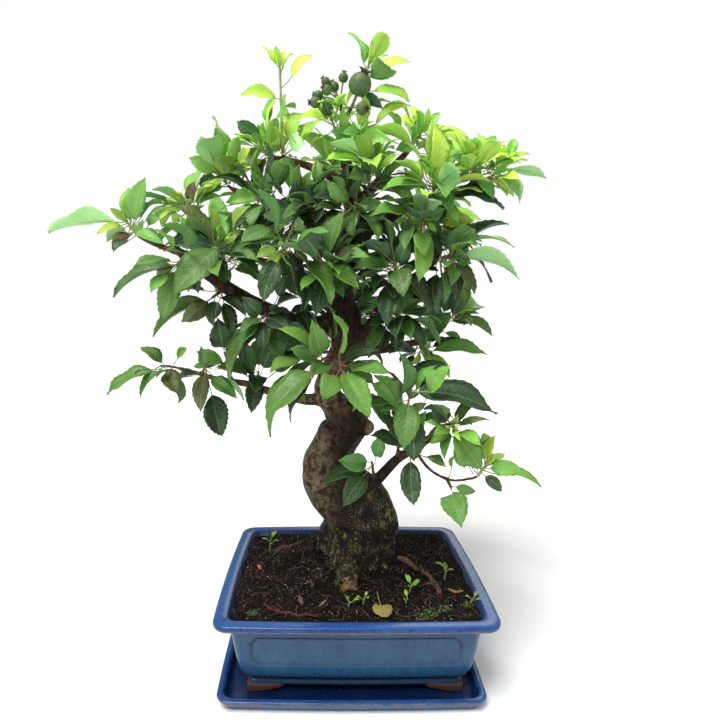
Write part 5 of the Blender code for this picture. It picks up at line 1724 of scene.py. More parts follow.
@dataclass
class Wood(Part):
    """Trunk, roots, branches and twigs as one skin with ridges, hollows and cracks."""

    shoots: dict[str, Shoot]
    voxel: float = 1.5
    trunk_sides: int = 44
    limb_sides: int = 14
    twig_sides: int = 8
    lumps_below: float = 152
    flutes_above: float = 245
    fade: float = 40

    def limbs(self) -> list[tuple[Line, int, Lobes | None]]:
        """Every limb's smooth line, its count of sides and its lobes."""
        found = [(rounded_line(TRUNK, 4), self.trunk_sides, trunk_lobes)]
        lines = [SHOULDER, STUMP, STUB, *ROOTS.values(), ROOT_FORK, KNOB]
        for name, line in BRANCHES.items():
            lines.append([(x, y, z, max(THINNEST, r * SLIMMER.get(name, 1))) for x, y, z, r in line])
        found += [(rounded_line(line, 4), self.limb_sides, None) for line in lines]
        found += [(rounded_line(shoot.twig, 4), self.twig_sides, None) for shoot in self.shoots.values()]
        return found + [(rounded_line(spur_line(bunch), 3), self.twig_sides, None) for bunch in BUNCHES]

    def skin(self) -> BMesh:
        """One closed skin round all the limbs, in millimetres."""
        bm = bmesh.new()
        for line, sides, lobes in self.limbs():
            sweep(bm, line, sides, lobes)
        carrier = stood("limbs", meshed("limbs", outwards(bm)))
        step = carrier.modifiers.new("Skin", "REMESH")
        step.mode = "VOXEL"
        step.voxel_size = self.voxel
        shown = carrier.evaluated_get(bpy.context.evaluated_depsgraph_get())
        joined = bmesh.new()
        joined.from_mesh(shown.to_mesh())
        bpy.data.objects.remove(carrier)
        smoothed(joined, joined.verts, 2)
        (low, high), (left, right) = NECK_HEIGHT, NECK_SIDES
        neck = [v for v in joined.verts if low < v.co.z < high and left < v.co.x < right]
        smoothed(joined, neck, NECK_PASSES)
        return joined

    def nearest(self, points: np.ndarray) -> tuple[np.ndarray, np.ndarray]:
        """What limb each point of the skin belongs to.

        Args:
            points: The points.

        Returns:
            For each, its limb's radius and direction there.
        """
        best = np.full(len(points), 1e9)
        radius = np.zeros(len(points))
        way = np.zeros((len(points), 3))
        for line, _, _ in self.limbs():
            for a, b in zip(line[::2], line[2::2]):
                start, span = np.array(a[:3]), np.subtract(b[:3], a[:3])
                length = np.linalg.norm(span)
                t = np.clip((points - start) @ span / length**2, 0, 1)
                here = a[3] + (b[3] - a[3]) * t
                bark = np.linalg.norm(points - start - t[:, None] * span, axis=1) - here
                closer = bark < best
                best[closer] = bark[closer]
                radius[closer] = here[closer]
                way[closer] = span / length
        return radius, way

    def carve(self, bm: BMesh) -> None:
        """Moves the skin in and out for lumps at the foot, flutes above and cracks, and marks the cut faces.

        Args:
            bm: The skin, which gets the layers that the bark's finish reads.
        """
        thick, crack, cut = (bm.verts.layers.float.new(name) for name in ("thick", "crack", "cut"))
        bm.normal_update()
        points = np.array([v.co for v in bm.verts])
        radius, way = self.nearest(points)
        along = (points * way).sum(1)[:, None] * way
        cross = points - along
        for vert, r, a, c in zip(bm.verts, radius, along, cross):
            stout = min(1.0, r / 16)
            low = clamped((self.lumps_below - vert.co.z) / self.fade)
            high = clamped((vert.co.z - self.flutes_above) / self.fade)
            ridge = noise.noise(Vector(c / 5.0 + a / 30)) + 0.5 * noise.noise(Vector(c / 2.4 + a / 16))
            lump = noise.noise(vert.co / 19)
            knots = noise.noise(vert.co / 7 + Vector((9, 2, 5)))
            split = max(0.0, -ridge - 0.3) * stout * (0.25 + 0.75 * max(low, high))
            rough = noise.fractal(vert.co / 6.5, 1.0, 2.1, 3) * low
            push = (0.25 + 0.75 * high) * ridge * stout + (1.4 * lump + 0.6 * knots) * stout
            push += 2.0 * rough + 2.2 * low * noise.noise(vert.co / 12) - 2.6 * split
            for place, reach, most in CUT_FACES:
                near = clamped(2.2 - (vert.co - place).length / reach * 2)
                vert[cut] = max(vert[cut], near * most)
            vert.co += vert.normal * push * (0.35 + 0.65 * stout)
            near = math.exp(-(((vert.co - HOLLOW).length / HOLLOW_REACH) ** 2))
            vert.co.x -= HOLLOW_DEPTH * near * clamped((r - 12) / 8)
            vert[thick] = r * MM
            # Marks the cracks for their dark inner bark and painted shade.
            vert[crack] = min(1.0, split * 2.6)

    def build(self) -> Object:
        """The tree's wood.

        Returns:
            The wood.
        """
        bm = self.skin()
        self.carve(bm)
        return settled("tree_bark", bm, [self.finishes.bark], ["tree_wood"])


@dataclass
class Foliage(Part):
    """Every spray as thin folded blades with toothed edges on curved stalks."""

    tree: Tree
    thick: float = 0.3
    large: float = 44
    middling: float = 33
    light_from: float = 430
    light_span: float = 120
    green_stalk: Colour = (0.26, 0.38, 0.1)
    orange_stalk: Colour = (0.40, 0.15, 0.05)
    young_stem: Colour = (0.3, 0.38, 0.14)
    old_stem: Colour = (0.12, 0.075, 0.04)
    weed_stem: Colour = (0.22, 0.32, 0.1)
    draw: random.Random = field(default_factory=lambda: random.Random(5))

    @staticmethod
    def fresh() -> BMesh:
        """An empty mesh with the layers that leaves and stalks carry."""
        bm = tone_mesh()
        bm.loops.layers.uv.new("blade")
        bm.verts.layers.float.new("seed")
        bm.verts.layers.float.new("under")
        return bm

    def blade(self, leaf: Leaf, curl: float = 1) -> BMesh:
        """One thin blade: a grid laid along the rib, folded, rippled and given its teeth.

        Args:
            leaf: The leaf.
            curl: How much it bends away from its plain solid.

        Returns:
            Its mesh, closed, with the underside marked.
        """
        bm = self.fresh()
        steps = 20 if leaf.length > self.large else 14 if leaf.length > self.middling else 10
        wide = 6 if leaf.length > self.large else 4
        bmesh.ops.create_grid(bm, x_segments=steps, y_segments=wide, size=0.5, calc_uvs=True)
        draw = self.draw.uniform
        shift, waves = draw(*ANY_TURN), draw(0.8, 2.1)
        wave = draw(0.02, 0.085) * leaf.width * curl
        fold = leaf.folded * FOLD * draw(0.4, 1.5)
        cup = draw(-0.1, 0.16) * leaf.width * curl
        swing = draw(-0.06, 0.06) * leaf.length * curl
        droop = draw(0.0, 0.09) * leaf.length * curl
        twist = draw(-0.4, 0.4) * curl
        tooth = min(0.42, 0.016 * leaf.width)
        for vert in bm.verts:
            t, s = vert.co.x + 0.5, -2 * vert.co.y
            half = leaf.half(min(max(t, 0.004), 0.996)) + 0.2
            if t > 0.75:
                half *= 1 - 0.3 * ((t - 0.75) / 0.25) ** 1.5
            rim = abs(s) > 0.99 and 0 < t < 1
            high = round(t * steps) % 2 == 0
            if rim:
                half += tooth if high else -tooth
            lift = math.sin(fold) * abs(s) * half + cup * (s * s - abs(s))
            lift += twist * (t - 0.3) * s * half - droop * t**3
            lift += wave * math.sin(6.283 * waves * t + shift + (1.7 if s > 0 else 0)) * s * s
            place = leaf.rib(t) + leaf.side * (math.cos(fold) * s * half + swing * math.sin(math.pi * t))
            vert.co = place + leaf.up(t) * lift + leaf.chord * (tooth * 1.2 if rim and high else 0)
        paint(bm, bm.verts, self.toned(leaf))
        number, before = self.draw.random(), set(bm.verts)
        bmesh.ops.solidify(bm, geom=list(bm.faces), thickness=self.thick)
        seed, under = (bm.verts.layers.float[name] for name in ("seed", "under"))
        for vert in bm.verts:
            vert[seed], vert[under] = number, 0 if vert in before else 1
        return bm

    def toned(self, leaf: Leaf) -> Colour:
        """A leaf's tone: lighter high up and out in the crown as painted light, and a little lighter or
        darker, yellower or bluer than planned at random.

        Args:
            leaf: The leaf.

        Returns:
            The tone.
        """
        red, green, blue = leaf.tone
        # Painted light: the tone is lighter the higher and further out in the crown the leaf lies.
        high = clamped((leaf.base.z - self.light_from) / self.light_span)
        light = self.draw.uniform(0.75, 1.35) * (0.72 + 0.35 * openness(leaf.base) + 0.6 * high)
        warm = 1 if leaf.tone == PALE else self.draw.uniform(0.9, 1.2)
        return red * light * warm, green * light, blue * 0.8 * light / warm

    def stalk(self, leaf: Leaf, warm: float) -> BMesh:
        """A leaf's stalk, which bends from its shoot to the blade and runs on as its rib.

        Args:
            leaf: The leaf.
            warm: How orange it is.

        Returns:
            Its mesh.
        """
        bm = self.fresh()
        thin = 0.6 if leaf.length > 40 else 0.42
        middle = leaf.foot.lerp(leaf.base, 0.55) - UP * 0.06 * (leaf.base - leaf.foot).length
        onto = leaf.rib(0.16) - leaf.up(0.16) * 0.35
        far = leaf.rib(0.55) - leaf.up(0.55) * 0.25
        line = [(*leaf.foot, thin * 1.3), (*middle, thin), (*leaf.base, thin)]
        line += [(*onto, thin * 0.75), (*far, 0.1)]
        steps, sides = (3, 6) if leaf.length > self.middling else (2, 5)
        tone = Vector(self.green_stalk).lerp(Vector(self.orange_stalk), warm)
        paint(bm, sweep(bm, rounded_line(line, steps), sides), tone)
        return outwards(bm)

    def stem(self, line: Sequence, scars: bool, tone: Colour) -> BMesh:
        """The stem of a spray or a small plant.

        Args:
            line: Its (x, y, z, radius) points.
            scars: Whether it is thicker at the scars of its buds.
            tone: Its tone.

        Returns:
            Its mesh.
        """
        bm = self.fresh()
        rows = rounded_line(line, 5)
        if scars:
            rows = [(*row[:3], row[3] * (0.92 if k % 3 else 1.2)) for k, row in enumerate(rows)]
        paint(bm, sweep(bm, rows, 8), tone)
        return outwards(bm)

    @staticmethod
    def buds(shoot: Shoot) -> list[Leaf]:
        """A tuft of folded young leaves at the end of a growing stem.

        Args:
            shoot: The stem's shoot.

        Returns:
            The leaves.
        """
        way = shoot.way
        found = []
        for k in range(6):
            out = turned(way.orthogonal().normalized(), way, GOLDEN * k + 0.4)
            chord = (way * 1.1 + out * (0.2 + 0.17 * k) + UP * 0.25).normalized()
            face = (way - chord * chord.dot(way)).normalized()
            length = 8 + 2.7 * k
            foot = shoot.end - way * (0.4 + 1.2 * k)
            found.append(Leaf(foot, foot + chord * (1 + k), chord, face, length, length * 0.4, LIME))
        return found

    def plant(
        self, name: str, leaves: Sequence[Leaf], stem: BMesh | None, node: str | None, slot: str,
        warm: float = 0.1, dry: bool = False,
    ) -> None:
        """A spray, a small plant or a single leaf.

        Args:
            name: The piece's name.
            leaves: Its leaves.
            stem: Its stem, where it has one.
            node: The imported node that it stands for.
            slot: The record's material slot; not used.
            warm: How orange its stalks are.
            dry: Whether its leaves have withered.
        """
        whole = self.fresh()
        for leaf in leaves:
            pour(whole, self.blade(leaf))
        blades = len(whole.faces)
        for leaf in leaves:
            pour(whole, self.stalk(leaf, clamped(warm + self.draw.uniform(-0.1, 0.3))))
        if stem:
            pour(whole, stem)
        whole.faces.ensure_lookup_table()
        for face in whole.faces[blades:]:
            face.material_index = 1
        skin = self.finishes.dry if dry else self.finishes.leaf
        settled(name, whole, [skin, self.finishes.stalk], [node] if node else [])

    def build(self) -> None:
        """All the sprays."""
        for name, leaves in self.tree.leaves.items():
            shoot = self.tree.shoots[name]
            young = any(leaf.tone == LIME for leaf in leaves)
            stem = self.stem(shoot.stem, True, self.young_stem if young else self.old_stem)
            if young:
                leaves = [*leaves, *self.buds(shoot)]
            warm = 0.85 if name.startswith("front") else 0.15
            self.plant(f"leaves_{name}", leaves, stem, f"spray_{name}", "leaf", warm)


CORNERS = ((1, 1), (-1, 1), (-1, -1), (1, -1))
FOOT_TOP = 30
LIP_EDGE = 3


def side_bow(along: float, half: float) -> float:
    """How far a side of the pot or saucer bows out at a place along it."""
    return POT_BOW * max(0.0, 1 - (along / half) ** 2)


def band(value: float, middle: float, reach: float) -> float:
    """How near a value lies to a band's middle: one there, and nought at its ends and past them."""
    return max(0, 1 - abs(value - middle) / reach)


def ring_spots(size: Sequence[float], spacing: float, turns: int) -> list[tuple[int, float]]:
    """Spots round a rectangle, on each corner's arc first, then on the side after it.

    Args:
        size: The rectangle's two sides.
        spacing: How far apart they are on a side.
        turns: How many are on an arc.

    Returns:
        The quarter of each, and its share of the arc, or one and its share of the side.
    """
    spots = []
    for quarter in range(4):
        spots += [(quarter, k / turns) for k in range(turns)]
        count = round(size[quarter % 2] / spacing)
        spots += [(quarter, 1 + k / count) for k in range(count)]
    return spots


def ring_place(
    size: Sequence[float], inset: float, corner: float, spot: tuple[int, float],
) -> tuple[float, float]:
    """The place of a spot on the outline that lies inset from the rim's edge.

    Args:
        size: The rim's two sides.
        inset: How far in from the rim's edge.
        corner: The rim's corner radius.
        spot: The quarter and the share, up to one on its arc and over one on the side after it.

    Returns:
        Its x and y.
    """
    radius = max(corner - 0.4 * inset, 7)
    half_x, half_y = (side / 2 - inset - radius for side in size)
    sx, sy = CORNERS[spot[0]]
    if spot[1] < 1:
        angle = math.radians(90 * (spot[0] + spot[1]))
        return sx * half_x + radius * math.cos(angle), sy * half_y + radius * math.sin(angle)
    share = 1 - 2 * (spot[1] - 1)
    if spot[0] % 2 == 0:
        x = sx * half_x * share
        return x, sy * (half_y + radius + side_bow(x, half_x))
    y = sy * half_y * share
    return sx * (half_x + radius + side_bow(y, half_y)), y


@dataclass
class Vessel(Part):
    """A glazed body drawn ring by ring through its profile, closed at both ends."""

    size: tuple[float, float] = POT_SIZE
    corner: float = POT_CORNER
    rows: tuple = POT_ROWS
    centre: tuple[float, float] = (0, 0)
    spacing: float = 2.25
    turns: int = 10
    gap: float = 1.4

    def pitch(self, a: Sequence[float], b: Sequence[float]) -> float:
        """How far apart the rings lie between two rows of the profile."""
        return self.gap

    def loft(self) -> BMesh:
        """The body, through the rows with soft corners."""
        soft = softened(self.rows)
        profile = []
        for a, b in zip(soft, soft[1:]):
            count = max(1, round(math.dist(a, b) / self.pitch(a, b)))
            for k in range(count):
                profile.append(tuple(p + (q - p) * k / count for p, q in zip(a, b)))
        spots = ring_spots(self.size, self.spacing, self.turns)
        middle = Vector((*self.centre, 0))
        rings = []
        for inset, height in (*profile, soft[-1]):
            places = (ring_place(self.size, inset, self.corner, spot) for spot in spots)
            rings.append([middle + Vector((x, y, height)) for x, y in places])
        bm = bmesh.new()
        draw_rings(bm, rings)
        for name in ("pool", "worn", "rim"):
            bm.verts.layers.float.new(name)
        return outwards(bm)


@dataclass
class Pot(Vessel):
    """The glazed pot: rim, sloping walls with sunk panels, moulded foot line, feet and drains."""

    gap: float = 4
    wall_gap: float = 1.1
    panel_edge: float = 0.9
    foot_rise: float = 5.5
    wall: tuple[float, float] = (20, 79)
    upper: tuple[float, float] = (46, 16)
    foot_line: tuple[float, float] = (13, 25)
    rich_from: tuple[float, float] = (71, 78.6)
    rich_span: float = 7
    sheen_sides: tuple[float, float] = (118, -94)
    lip: tuple[float, float] = (79.9, 84)
    lip_worn: float = 82.3
    lip_shade: float = 81.0
    inside_from: float = 40

    def pitch(self, a: Sequence[float], b: Sequence[float]) -> float:
        """Close rings on the outer wall, where the panels lie, and few inside."""
        return self.wall_gap if a[1] < b[1] and b[0] < FOOT_TOP else self.gap

    def panel(self, along: float, height: float, half: float) -> float:
        """How far inside a panel's edge a place on the wall lies.

        Args:
            along: Where it lies along the wall, from the middle.
            height: Its height.
            half: Half the wall's length.

        Returns:
            The distance, below nought outside the panel.
        """
        reach = half - PANEL_MARGIN - abs(along)
        low, high = height - PANEL_HEIGHT[0], PANEL_HEIGHT[1] - height
        chamfer = (reach + min(low, high) - PANEL_CHAMFER) / math.sqrt(2)
        return min(reach, low, high, chamfer)

    def sink(self, bm: BMesh) -> None:
        """Sinks the panels into the outer walls and marks where the glaze pools, where shade and sheen are
        painted, and where it wears.

        Args:
            bm: The pot's body.
        """
        pool, worn, rim = (bm.verts.layers.float[name] for name in ("pool", "worn", "rim"))
        low, high = self.wall
        for vert in bm.verts:
            x, y, z = vert.co
            out, along = (0, y) if abs(x) > abs(y) + (self.size[0] - self.size[1]) / 2 else (1, x)
            half = self.size[1 - out] / 2
            outer = vert.normal[out] * (1 if vert.co[out] > 0 else -1) > 0.35
            edge = self.size[out] / 2 - abs(vert.co[out]) + side_bow(along, half)
            grain = 0.5 + 0.5 * noise.noise(vert.co / 9) + 0.25 * noise.noise(vert.co / 2.5)
            # Painted sheen: the rim at the left and right ends, away from the front, takes half the rich
            # blue and looks paler.
            most = 0.5 if abs(x) > self.sheen_sides[0] and y > self.sheen_sides[1] else 1
            vert[rim] = min(most, max(0, (z - self.rich_from[0 if outer else 1]) / self.rich_span))
            dark = 0.0
            if outer and low < z < high:
                depth = self.panel(along, z, half)
                step = clamped(depth / self.panel_edge + 0.5)
                vert.co[out] -= math.copysign(PANEL_DEPTH * step * step * (3 - 2 * step), vert.co[out])
                # Painted shadow: a dark line along the panel's sunk edge, strongest under its top edge, with
                # a fainter dark smear round it.
                upper = min(1, max(0.25, (z - self.upper[0]) / self.upper[1]))
                line = 2.3 * band(depth, 0.1, 1.9) * upper * (0.45 + 0.75 * grain)
                smear = 0.5 * band(depth, -0.8, 4.5) * grain * upper
                dark = max(line, smear)
            # Painted shade under the rim's overhang, on the faces that look down.
            if z > high and edge < 9 and vert.normal.z < -0.1:
                dark = 0.8
            # Darker along the moulded foot line.
            if self.foot_line[0] < z < self.foot_line[1] and edge < 33:
                dark = max(dark, min(1, 1.3 - 0.2 * abs(z - 18)))
            # Darker on the pot's inside walls.
            if z > self.inside_from and edge > 11 and not outer:
                dark = 0.55
            vert[pool] = clamped(dark)
            # A tan worn line on the lip's edge, and painted shade in a dark line below it, where the lip
            # turns under.
            if edge < LIP_EDGE and self.lip[0] < z < self.lip[1]:
                vert[worn] = band(z, self.lip_worn, 1) * min(1, 0.3 + grain)
                vert[pool] = min(1, 1.3 * band(z, self.lip_shade, 1.4))

    def foot(self, sx: int, sy: int) -> BMesh:
        """One foot of bare clay: scalloped inside, its underside rising inwards.

        Args:
            sx: Whether its corner lies to the right, as 1, or to the left, as -1.
            sy: Whether it lies at the back or the front.

        Returns:
            Its mesh.
        """
        bm = bmesh.new()
        corner_x, corner_y = (side / 2 - FOOT_INSET for side in self.size)
        outline = softened([*FOOT_OUTLINE, FOOT_OUTLINE[0]])[:-1]
        low, high = FOOT_HEIGHT
        rings = []
        for shrink, share in ((0.93, 0), (0.985, 0.05), (1, 0.16), (1, 0.6), (0.99, 1)):
            ring = []
            for x, y in outline:
                bottom = low + max(0, math.hypot(x, y) - 14) / 26 * self.foot_rise
                x, y = 10 + (x - 10) * shrink, 10 + (y - 10) * shrink
                height = bottom + (high + 0.3 - bottom) * share
                ring.append((sx * (corner_x - x), sy * (corner_y - y), height))
            rings.append(ring)
        draw_rings(bm, rings)
        for face in bm.faces:
            face.material_index = 1
        return outwards(bm)

    def drill(self, piece: Object) -> None:
        """Cuts the two drain holes through the pot's floor.

        Args:
            piece: The pot.
        """
        for x, y in DRAIN_PLACES:
            bm = bmesh.new()
            bmesh.ops.create_cone(
                bm, cap_ends=True, segments=40, radius1=DRAIN_RADIUS, radius2=DRAIN_RADIUS,
                depth=14, matrix=Matrix.Translation((x, y, POT_FLOOR - 3)),
            )
            drill = stood("drill", meshed("drill", bm, MM))
            cut = piece.modifiers.new("Drain", "BOOLEAN")
            cut.operation = "DIFFERENCE"
            cut.object = drill
            cut.solver = "EXACT"
            graph = bpy.context.evaluated_depsgraph_get()
            done = bpy.data.meshes.new_from_object(piece.evaluated_get(graph))
            piece.modifiers.clear()
            piece.data = done
            bpy.data.objects.remove(drill)

    def build(self) -> Object:
        """The pot.

        Returns:
            The piece.
        """
        bm = self.loft()
        bm.normal_update()
        self.sink(bm)
        for sx, sy in CORNERS:
            pour(bm, self.foot(sx, sy))
        piece = settled("pot_body", bm, [self.finishes.glaze, self.finishes.clay], ["pot"])
        self.drill(piece)
        return piece


@dataclass
class Saucer(Vessel):
    """The shallow glazed saucer under the pot."""

    size: tuple[float, float] = SAUCER_SIZE
    corner: float = SAUCER_CORNER
    rows: tuple = SAUCER_ROWS
    centre: tuple[float, float] = SAUCER_CENTRE
    spacing: float = 2.4
    inside: tuple[float, float] = (7.2, 11.2)
    outside: tuple[float, float] = (6, 8.6)
    lip_worn: float = 10.5
    lip_shade: float = 9.4

    def build(self) -> Object:
        """The saucer.

        Returns:
            The piece.
        """
        bm = self.loft()
        pool, worn, rim = (bm.verts.layers.float[name] for name in ("pool", "worn", "rim"))
        for vert in bm.verts:
            z = vert.co.z
            edge = 1 + min(self.size[i] / 2 - abs(vert.co[i] - self.centre[i]) for i in (0, 1))
            grain = 0.5 + 0.5 * noise.noise(vert.co / 7) + 0.3 * noise.noise(vert.co / 2.2)
            vert[rim] = 0.2 if edge < self.outside[0] and z < self.outside[1] else 0.8
            if edge > self.inside[0] and z < self.inside[1]:
                # Darker inside the saucer.
                vert[pool] = 0.72 + 0.2 * grain
            elif edge < LIP_EDGE:
                # Painted shade in a dark line below the lip's tan worn edge.
                vert[pool] = band(z, self.lip_shade, 1)
                vert[worn] = band(z, self.lip_worn, 0.9) * min(1, grain)
        return settled("saucer_body", bm, [self.finishes.glaze], ["saucer"])


CRUMB_TONES = ((0.008, 0.006, 0.005), (0.016, 0.010, 0.007), (0.040, 0.024, 0.015), (0.005, 0.004, 0.003))
FLECK_TONES = ((0.42, 0.34, 0.22), (0.26, 0.17, 0.09), (0.55, 0.52, 0.45), (0.30, 0.10, 0.04))
THREAD_TONES = ((0.05, 0.028, 0.018), (0.10, 0.06, 0.036), (0.17, 0.11, 0.07), (0.03, 0.018, 0.013))
MOSS_TONES = ((0.075, 0.130, 0.025), (0.14, 0.21, 0.06), (0.24, 0.34, 0.15))
CRUST_TONES = (*CRUMB_TONES, (0.11, 0.075, 0.045))
MOUNDS = (
    (-44, 15, 14, 24), (-72, 14, 9, 20), (-30, -20, 9, 20), (0, -18, 5, 18), (42, -10, 9, 22),
    (50, 18, 9, 22), (-34, 52, 6, 22), (42, 56, 6, 22), (6, 22, 5, 60),
)
MOST_MOUND = 15
OPEN_SOIL = (113, 83)
CRUST_HEIGHT = (0.083, 0.118)
SPRIG_LEAF = 7
ODD_BITS = (
    (((-101, 8, 1.2), (-99, 5, 2.0), (-97, 1, 1.0)), (0.72, 0.20, 0.07)),
    (((95, -33, 0.5), (101, -38, 1.4), (109, -38, 0.6)), (0.60, 0.40, 0.12)),
    (((-54, -48, 1.2), (-52, -54, 2.6), (-50, -60, 1.2)), (0.19, 0.12, 0.07)),
    (((48, -4, 2.0), (58, -7, 3.2), (68, -9, 2.0)), (0.22, 0.12, 0.08)),
    (((-86, 26, 1.0), (-76, 34, 3.0), (-64, 30, 1.4)), (0.15, 0.075, 0.045)),
    (((-80, 42, 0.8), (-68, 40, 2.4), (-60, 44, 0.8)), (0.13, 0.07, 0.04)),
    (((4, -66, 0.5), (9, -74, 0.9), (14, -84, 0.4)), (0.10, 0.045, 0.03)),
    (((-34, -64, 0.6), (-30, -60, 1.6), (-27, -57, 0.5)), (0.26, 0.22, 0.12)),
)
SPRIGS = ((-32, -16, 8, 2), (8, -60, 9, 3), (-6, -62, 5, 2), (112, -56, 6, 3), (49, -57, 5, 2))


def soil_height(x: float, y: float) -> float:
    """The soil's plain top: level at the pot's wall and raised round the trunk.

    Args:
        x: The place, to the right.
        y: The place, to the back.

    Returns:
        The height.
    """
    away = math.hypot(x - SOIL_CENTRE[0], y - SOIL_CENTRE[1])
    rise = SOIL_RISE * math.exp(-((away / SOIL_SPREAD) ** 2))
    lumps = 0.8 * math.sin(x * 0.11 + 1) * math.sin(y * 0.13)
    return SOIL_EDGE + rise + (lumps + 0.5 * math.sin(x * 0.23 - y * 0.19)) * min(1, away / 60)


def fine_height(x: float, y: float) -> float:
    """The soil's top with its clods and crumbs.

    Args:
        x: The place, to the right.
        y: The place, to the back.

    Returns:
        The height.
    """
    edge = min(POT_SIZE[0] / 2 - 15 - abs(x), POT_SIZE[1] / 2 - 15 - abs(y))
    calm = min(1, max(0.25, edge / 8))
    clods = 1.5 * noise.noise(Vector((x / 9, y / 9, 3)))
    crumbs = 0.9 * noise.noise(Vector((x / 3.1, y / 3.1, 8)))
    crumbs += 0.5 * noise.noise(Vector((x / 1.5, y / 1.5, 1)))
    mound = 0.0
    for mx, my, high, wide in MOUNDS:
        mound += high * math.exp(-((x - mx) ** 2 + (y - my) ** 2) / wide**2)
    heap = 1 + 0.45 * noise.noise(Vector((x / 11, y / 11, 21)))
    return soil_height(x, y) + min(mound, MOST_MOUND) * heap + (clods + crumbs) * calm


def in_pot(x: float, y: float) -> tuple[float, float]:
    """A place, brought back onto the open soil."""
    wide, deep = OPEN_SOIL
    return min(wide, max(-wide, x)), min(deep, max(-deep, y))


@dataclass
class Soil(Part):
    """The soil in the pot with crumbs, flecks, fibres and moss on its top."""

    step: float = 1.25
    batches: int = 22
    crumb_count: int = 150
    fleck_count: int = 20
    thread_count: int = 16
    crust_batches: int = 6
    crust_count: int = 140
    trunk_foot: tuple = ((6, 52), (18, 40))
    near_share: float = 0.3
    moss_share: float = 0.12
    moss: tuple = ((71, -72, 8), (60, -79, 6), (84, -66, 6), (-96, -72, 5), (-60, 54, 7), (108, -58, 5))
    draw: random.Random = field(default_factory=lambda: random.Random(11))

    def bed(self) -> BMesh:
        """The bed: a grid laid to the pot's inside, drawn down its wall to the floor."""
        bm = bmesh.new()
        inset = SOIL_ROWS[-1][0]
        half = [side / 2 - inset for side in POT_SIZE]
        radius = max(POT_CORNER - 0.4 * inset, 7)
        counts = [round(2 * reach / self.step) for reach in half]
        bmesh.ops.create_grid(bm, x_segments=counts[0], y_segments=counts[1], size=1)
        for vert in bm.verts:
            x, y = vert.co.x * half[0], vert.co.y * half[1]
            over_x, over_y = abs(x) - half[0] + radius, abs(y) - half[1] + radius
            if over_x > 0 and over_y > 0:
                pull = max(over_x, over_y) / math.hypot(over_x, over_y)
                x = math.copysign(half[0] - radius + over_x * pull, x)
                y = math.copysign(half[1] - radius + over_y * pull, y)
            bow_x, bow_y = side_bow(y, half[1]), side_bow(x, half[0])
            x += bow_x * vert.co.x * max(0, abs(vert.co.x) - 0.8) * 5
            y += bow_y * vert.co.y * max(0, abs(vert.co.y) - 0.8) * 5
            vert.co = (x, y, fine_height(x, y))
        ring = [e for e in bm.edges if e.is_boundary]
        for above, below in zip(SOIL_ROWS[::-1], SOIL_ROWS[-2::-1]):
            shrink = [(side / 2 - below[0]) / (side / 2 - above[0]) for side in POT_SIZE]
            grown = bmesh.ops.extrude_edge_only(bm, edges=ring)["geom"]
            for item in grown:
                if isinstance(item, BMVert):
                    item.co = (item.co.x * shrink[0], item.co.y * shrink[1], below[1])
            ring = [e for e in grown if isinstance(e, BMEdge) and e.is_boundary]
        bmesh.ops.contextual_create(bm, geom=ring)
        return outwards(bm)

    def spot(self) -> tuple[float, float]:
        """A place on the open soil, clear of the trunk's foot."""
        wide, deep = OPEN_SOIL
        (foot_x, reach_x), (foot_y, reach_y) = self.trunk_foot
        while True:
            x = self.draw.uniform(-wide, wide)
            y = self.draw.uniform(-deep, deep)
            clear = math.hypot((x - foot_x) / reach_x, (y - foot_y) / reach_y) > 1
            if clear or self.draw.random() < self.near_share:
                return x, y

    def turn(self, most: float, axis: str) -> Matrix:
        """A turn round an axis, up to an angle either way."""
        return Matrix.Rotation(self.draw.uniform(-most, most), 4, axis)

    def bit(
        self, bm: BMesh, place: Matrix, shape: Sequence[float], light: tuple, tones: Sequence[Colour],
    ) -> None:
        """One crumb or leaf of moss: a blunt cone in a tone that is drawn.

        Args:
            bm: The mesh that it is added to.
            place: Where it lies and how it is turned.
            shape: Its count of sides, its radius below and above, and its height.
            light: The least and most light on its tone.
            tones: The tones.
        """
        sides, below, above, tall = shape
        made = bmesh.ops.create_cone(
            bm, cap_ends=True, segments=sides, radius1=below, radius2=above, depth=tall, matrix=place,
        )
        share = self.draw.uniform(*light)
        paint(bm, made["verts"], [share * value for value in self.draw.choice(tones)])

    def crumbs(self, count: int, sizes: tuple, tones: Sequence[Colour], flat: float) -> BMesh:
        """Crumbs or flecks strewn over the top.

        Args:
            count: How many.
            sizes: The smallest and largest radius.
            tones: The tones that they are drawn from.
            flat: How high they are for their width.

        Returns:
            Their mesh.
        """
        bm = tone_mesh()
        for _ in range(count):
            x, y = self.spot()
            size = self.draw.uniform(*sizes)
            turn = Matrix.Rotation(self.draw.uniform(*ANY_TURN), 4, "Z") @ self.turn(0.8, "X")
            turn @= Matrix.Diagonal((1.35, 0.85, flat * self.draw.uniform(0.7, 1.2), 1))
            place = Matrix.Translation((x, y, fine_height(x, y) + 0.25 * size)) @ turn
            self.bit(bm, place, (5, size, size * 0.45, size * 1.3), (0.6, 1.6), tones)
        return bm

    def threads(self, count: int) -> BMesh:
        """Root fibres and bits of bark that lie on the top.

        Args:
            count: How many.

        Returns:
            Their mesh.
        """
        bm = tone_mesh()
        for _ in range(count):
            x, y = self.spot()
            turn, length = self.draw.uniform(*ANY_TURN), self.draw.uniform(4, 17)
            bend = self.draw.uniform(-0.8, 0.8)
            line = []
            for k in range(5):
                t = k / 4
                a = turn + bend * t
                px, py = in_pot(x + math.cos(a) * length * t, y + math.sin(a) * length * t)
                lift = 0.4 + 1.1 * math.sin(math.pi * t) * self.draw.random()
                line.append((px, py, fine_height(px, py) + lift, self.draw.uniform(0.14, 0.42)))
            shade = self.draw.choice(THREAD_TONES)
            paint(bm, sweep(bm, line, 4), shade)
        return bm

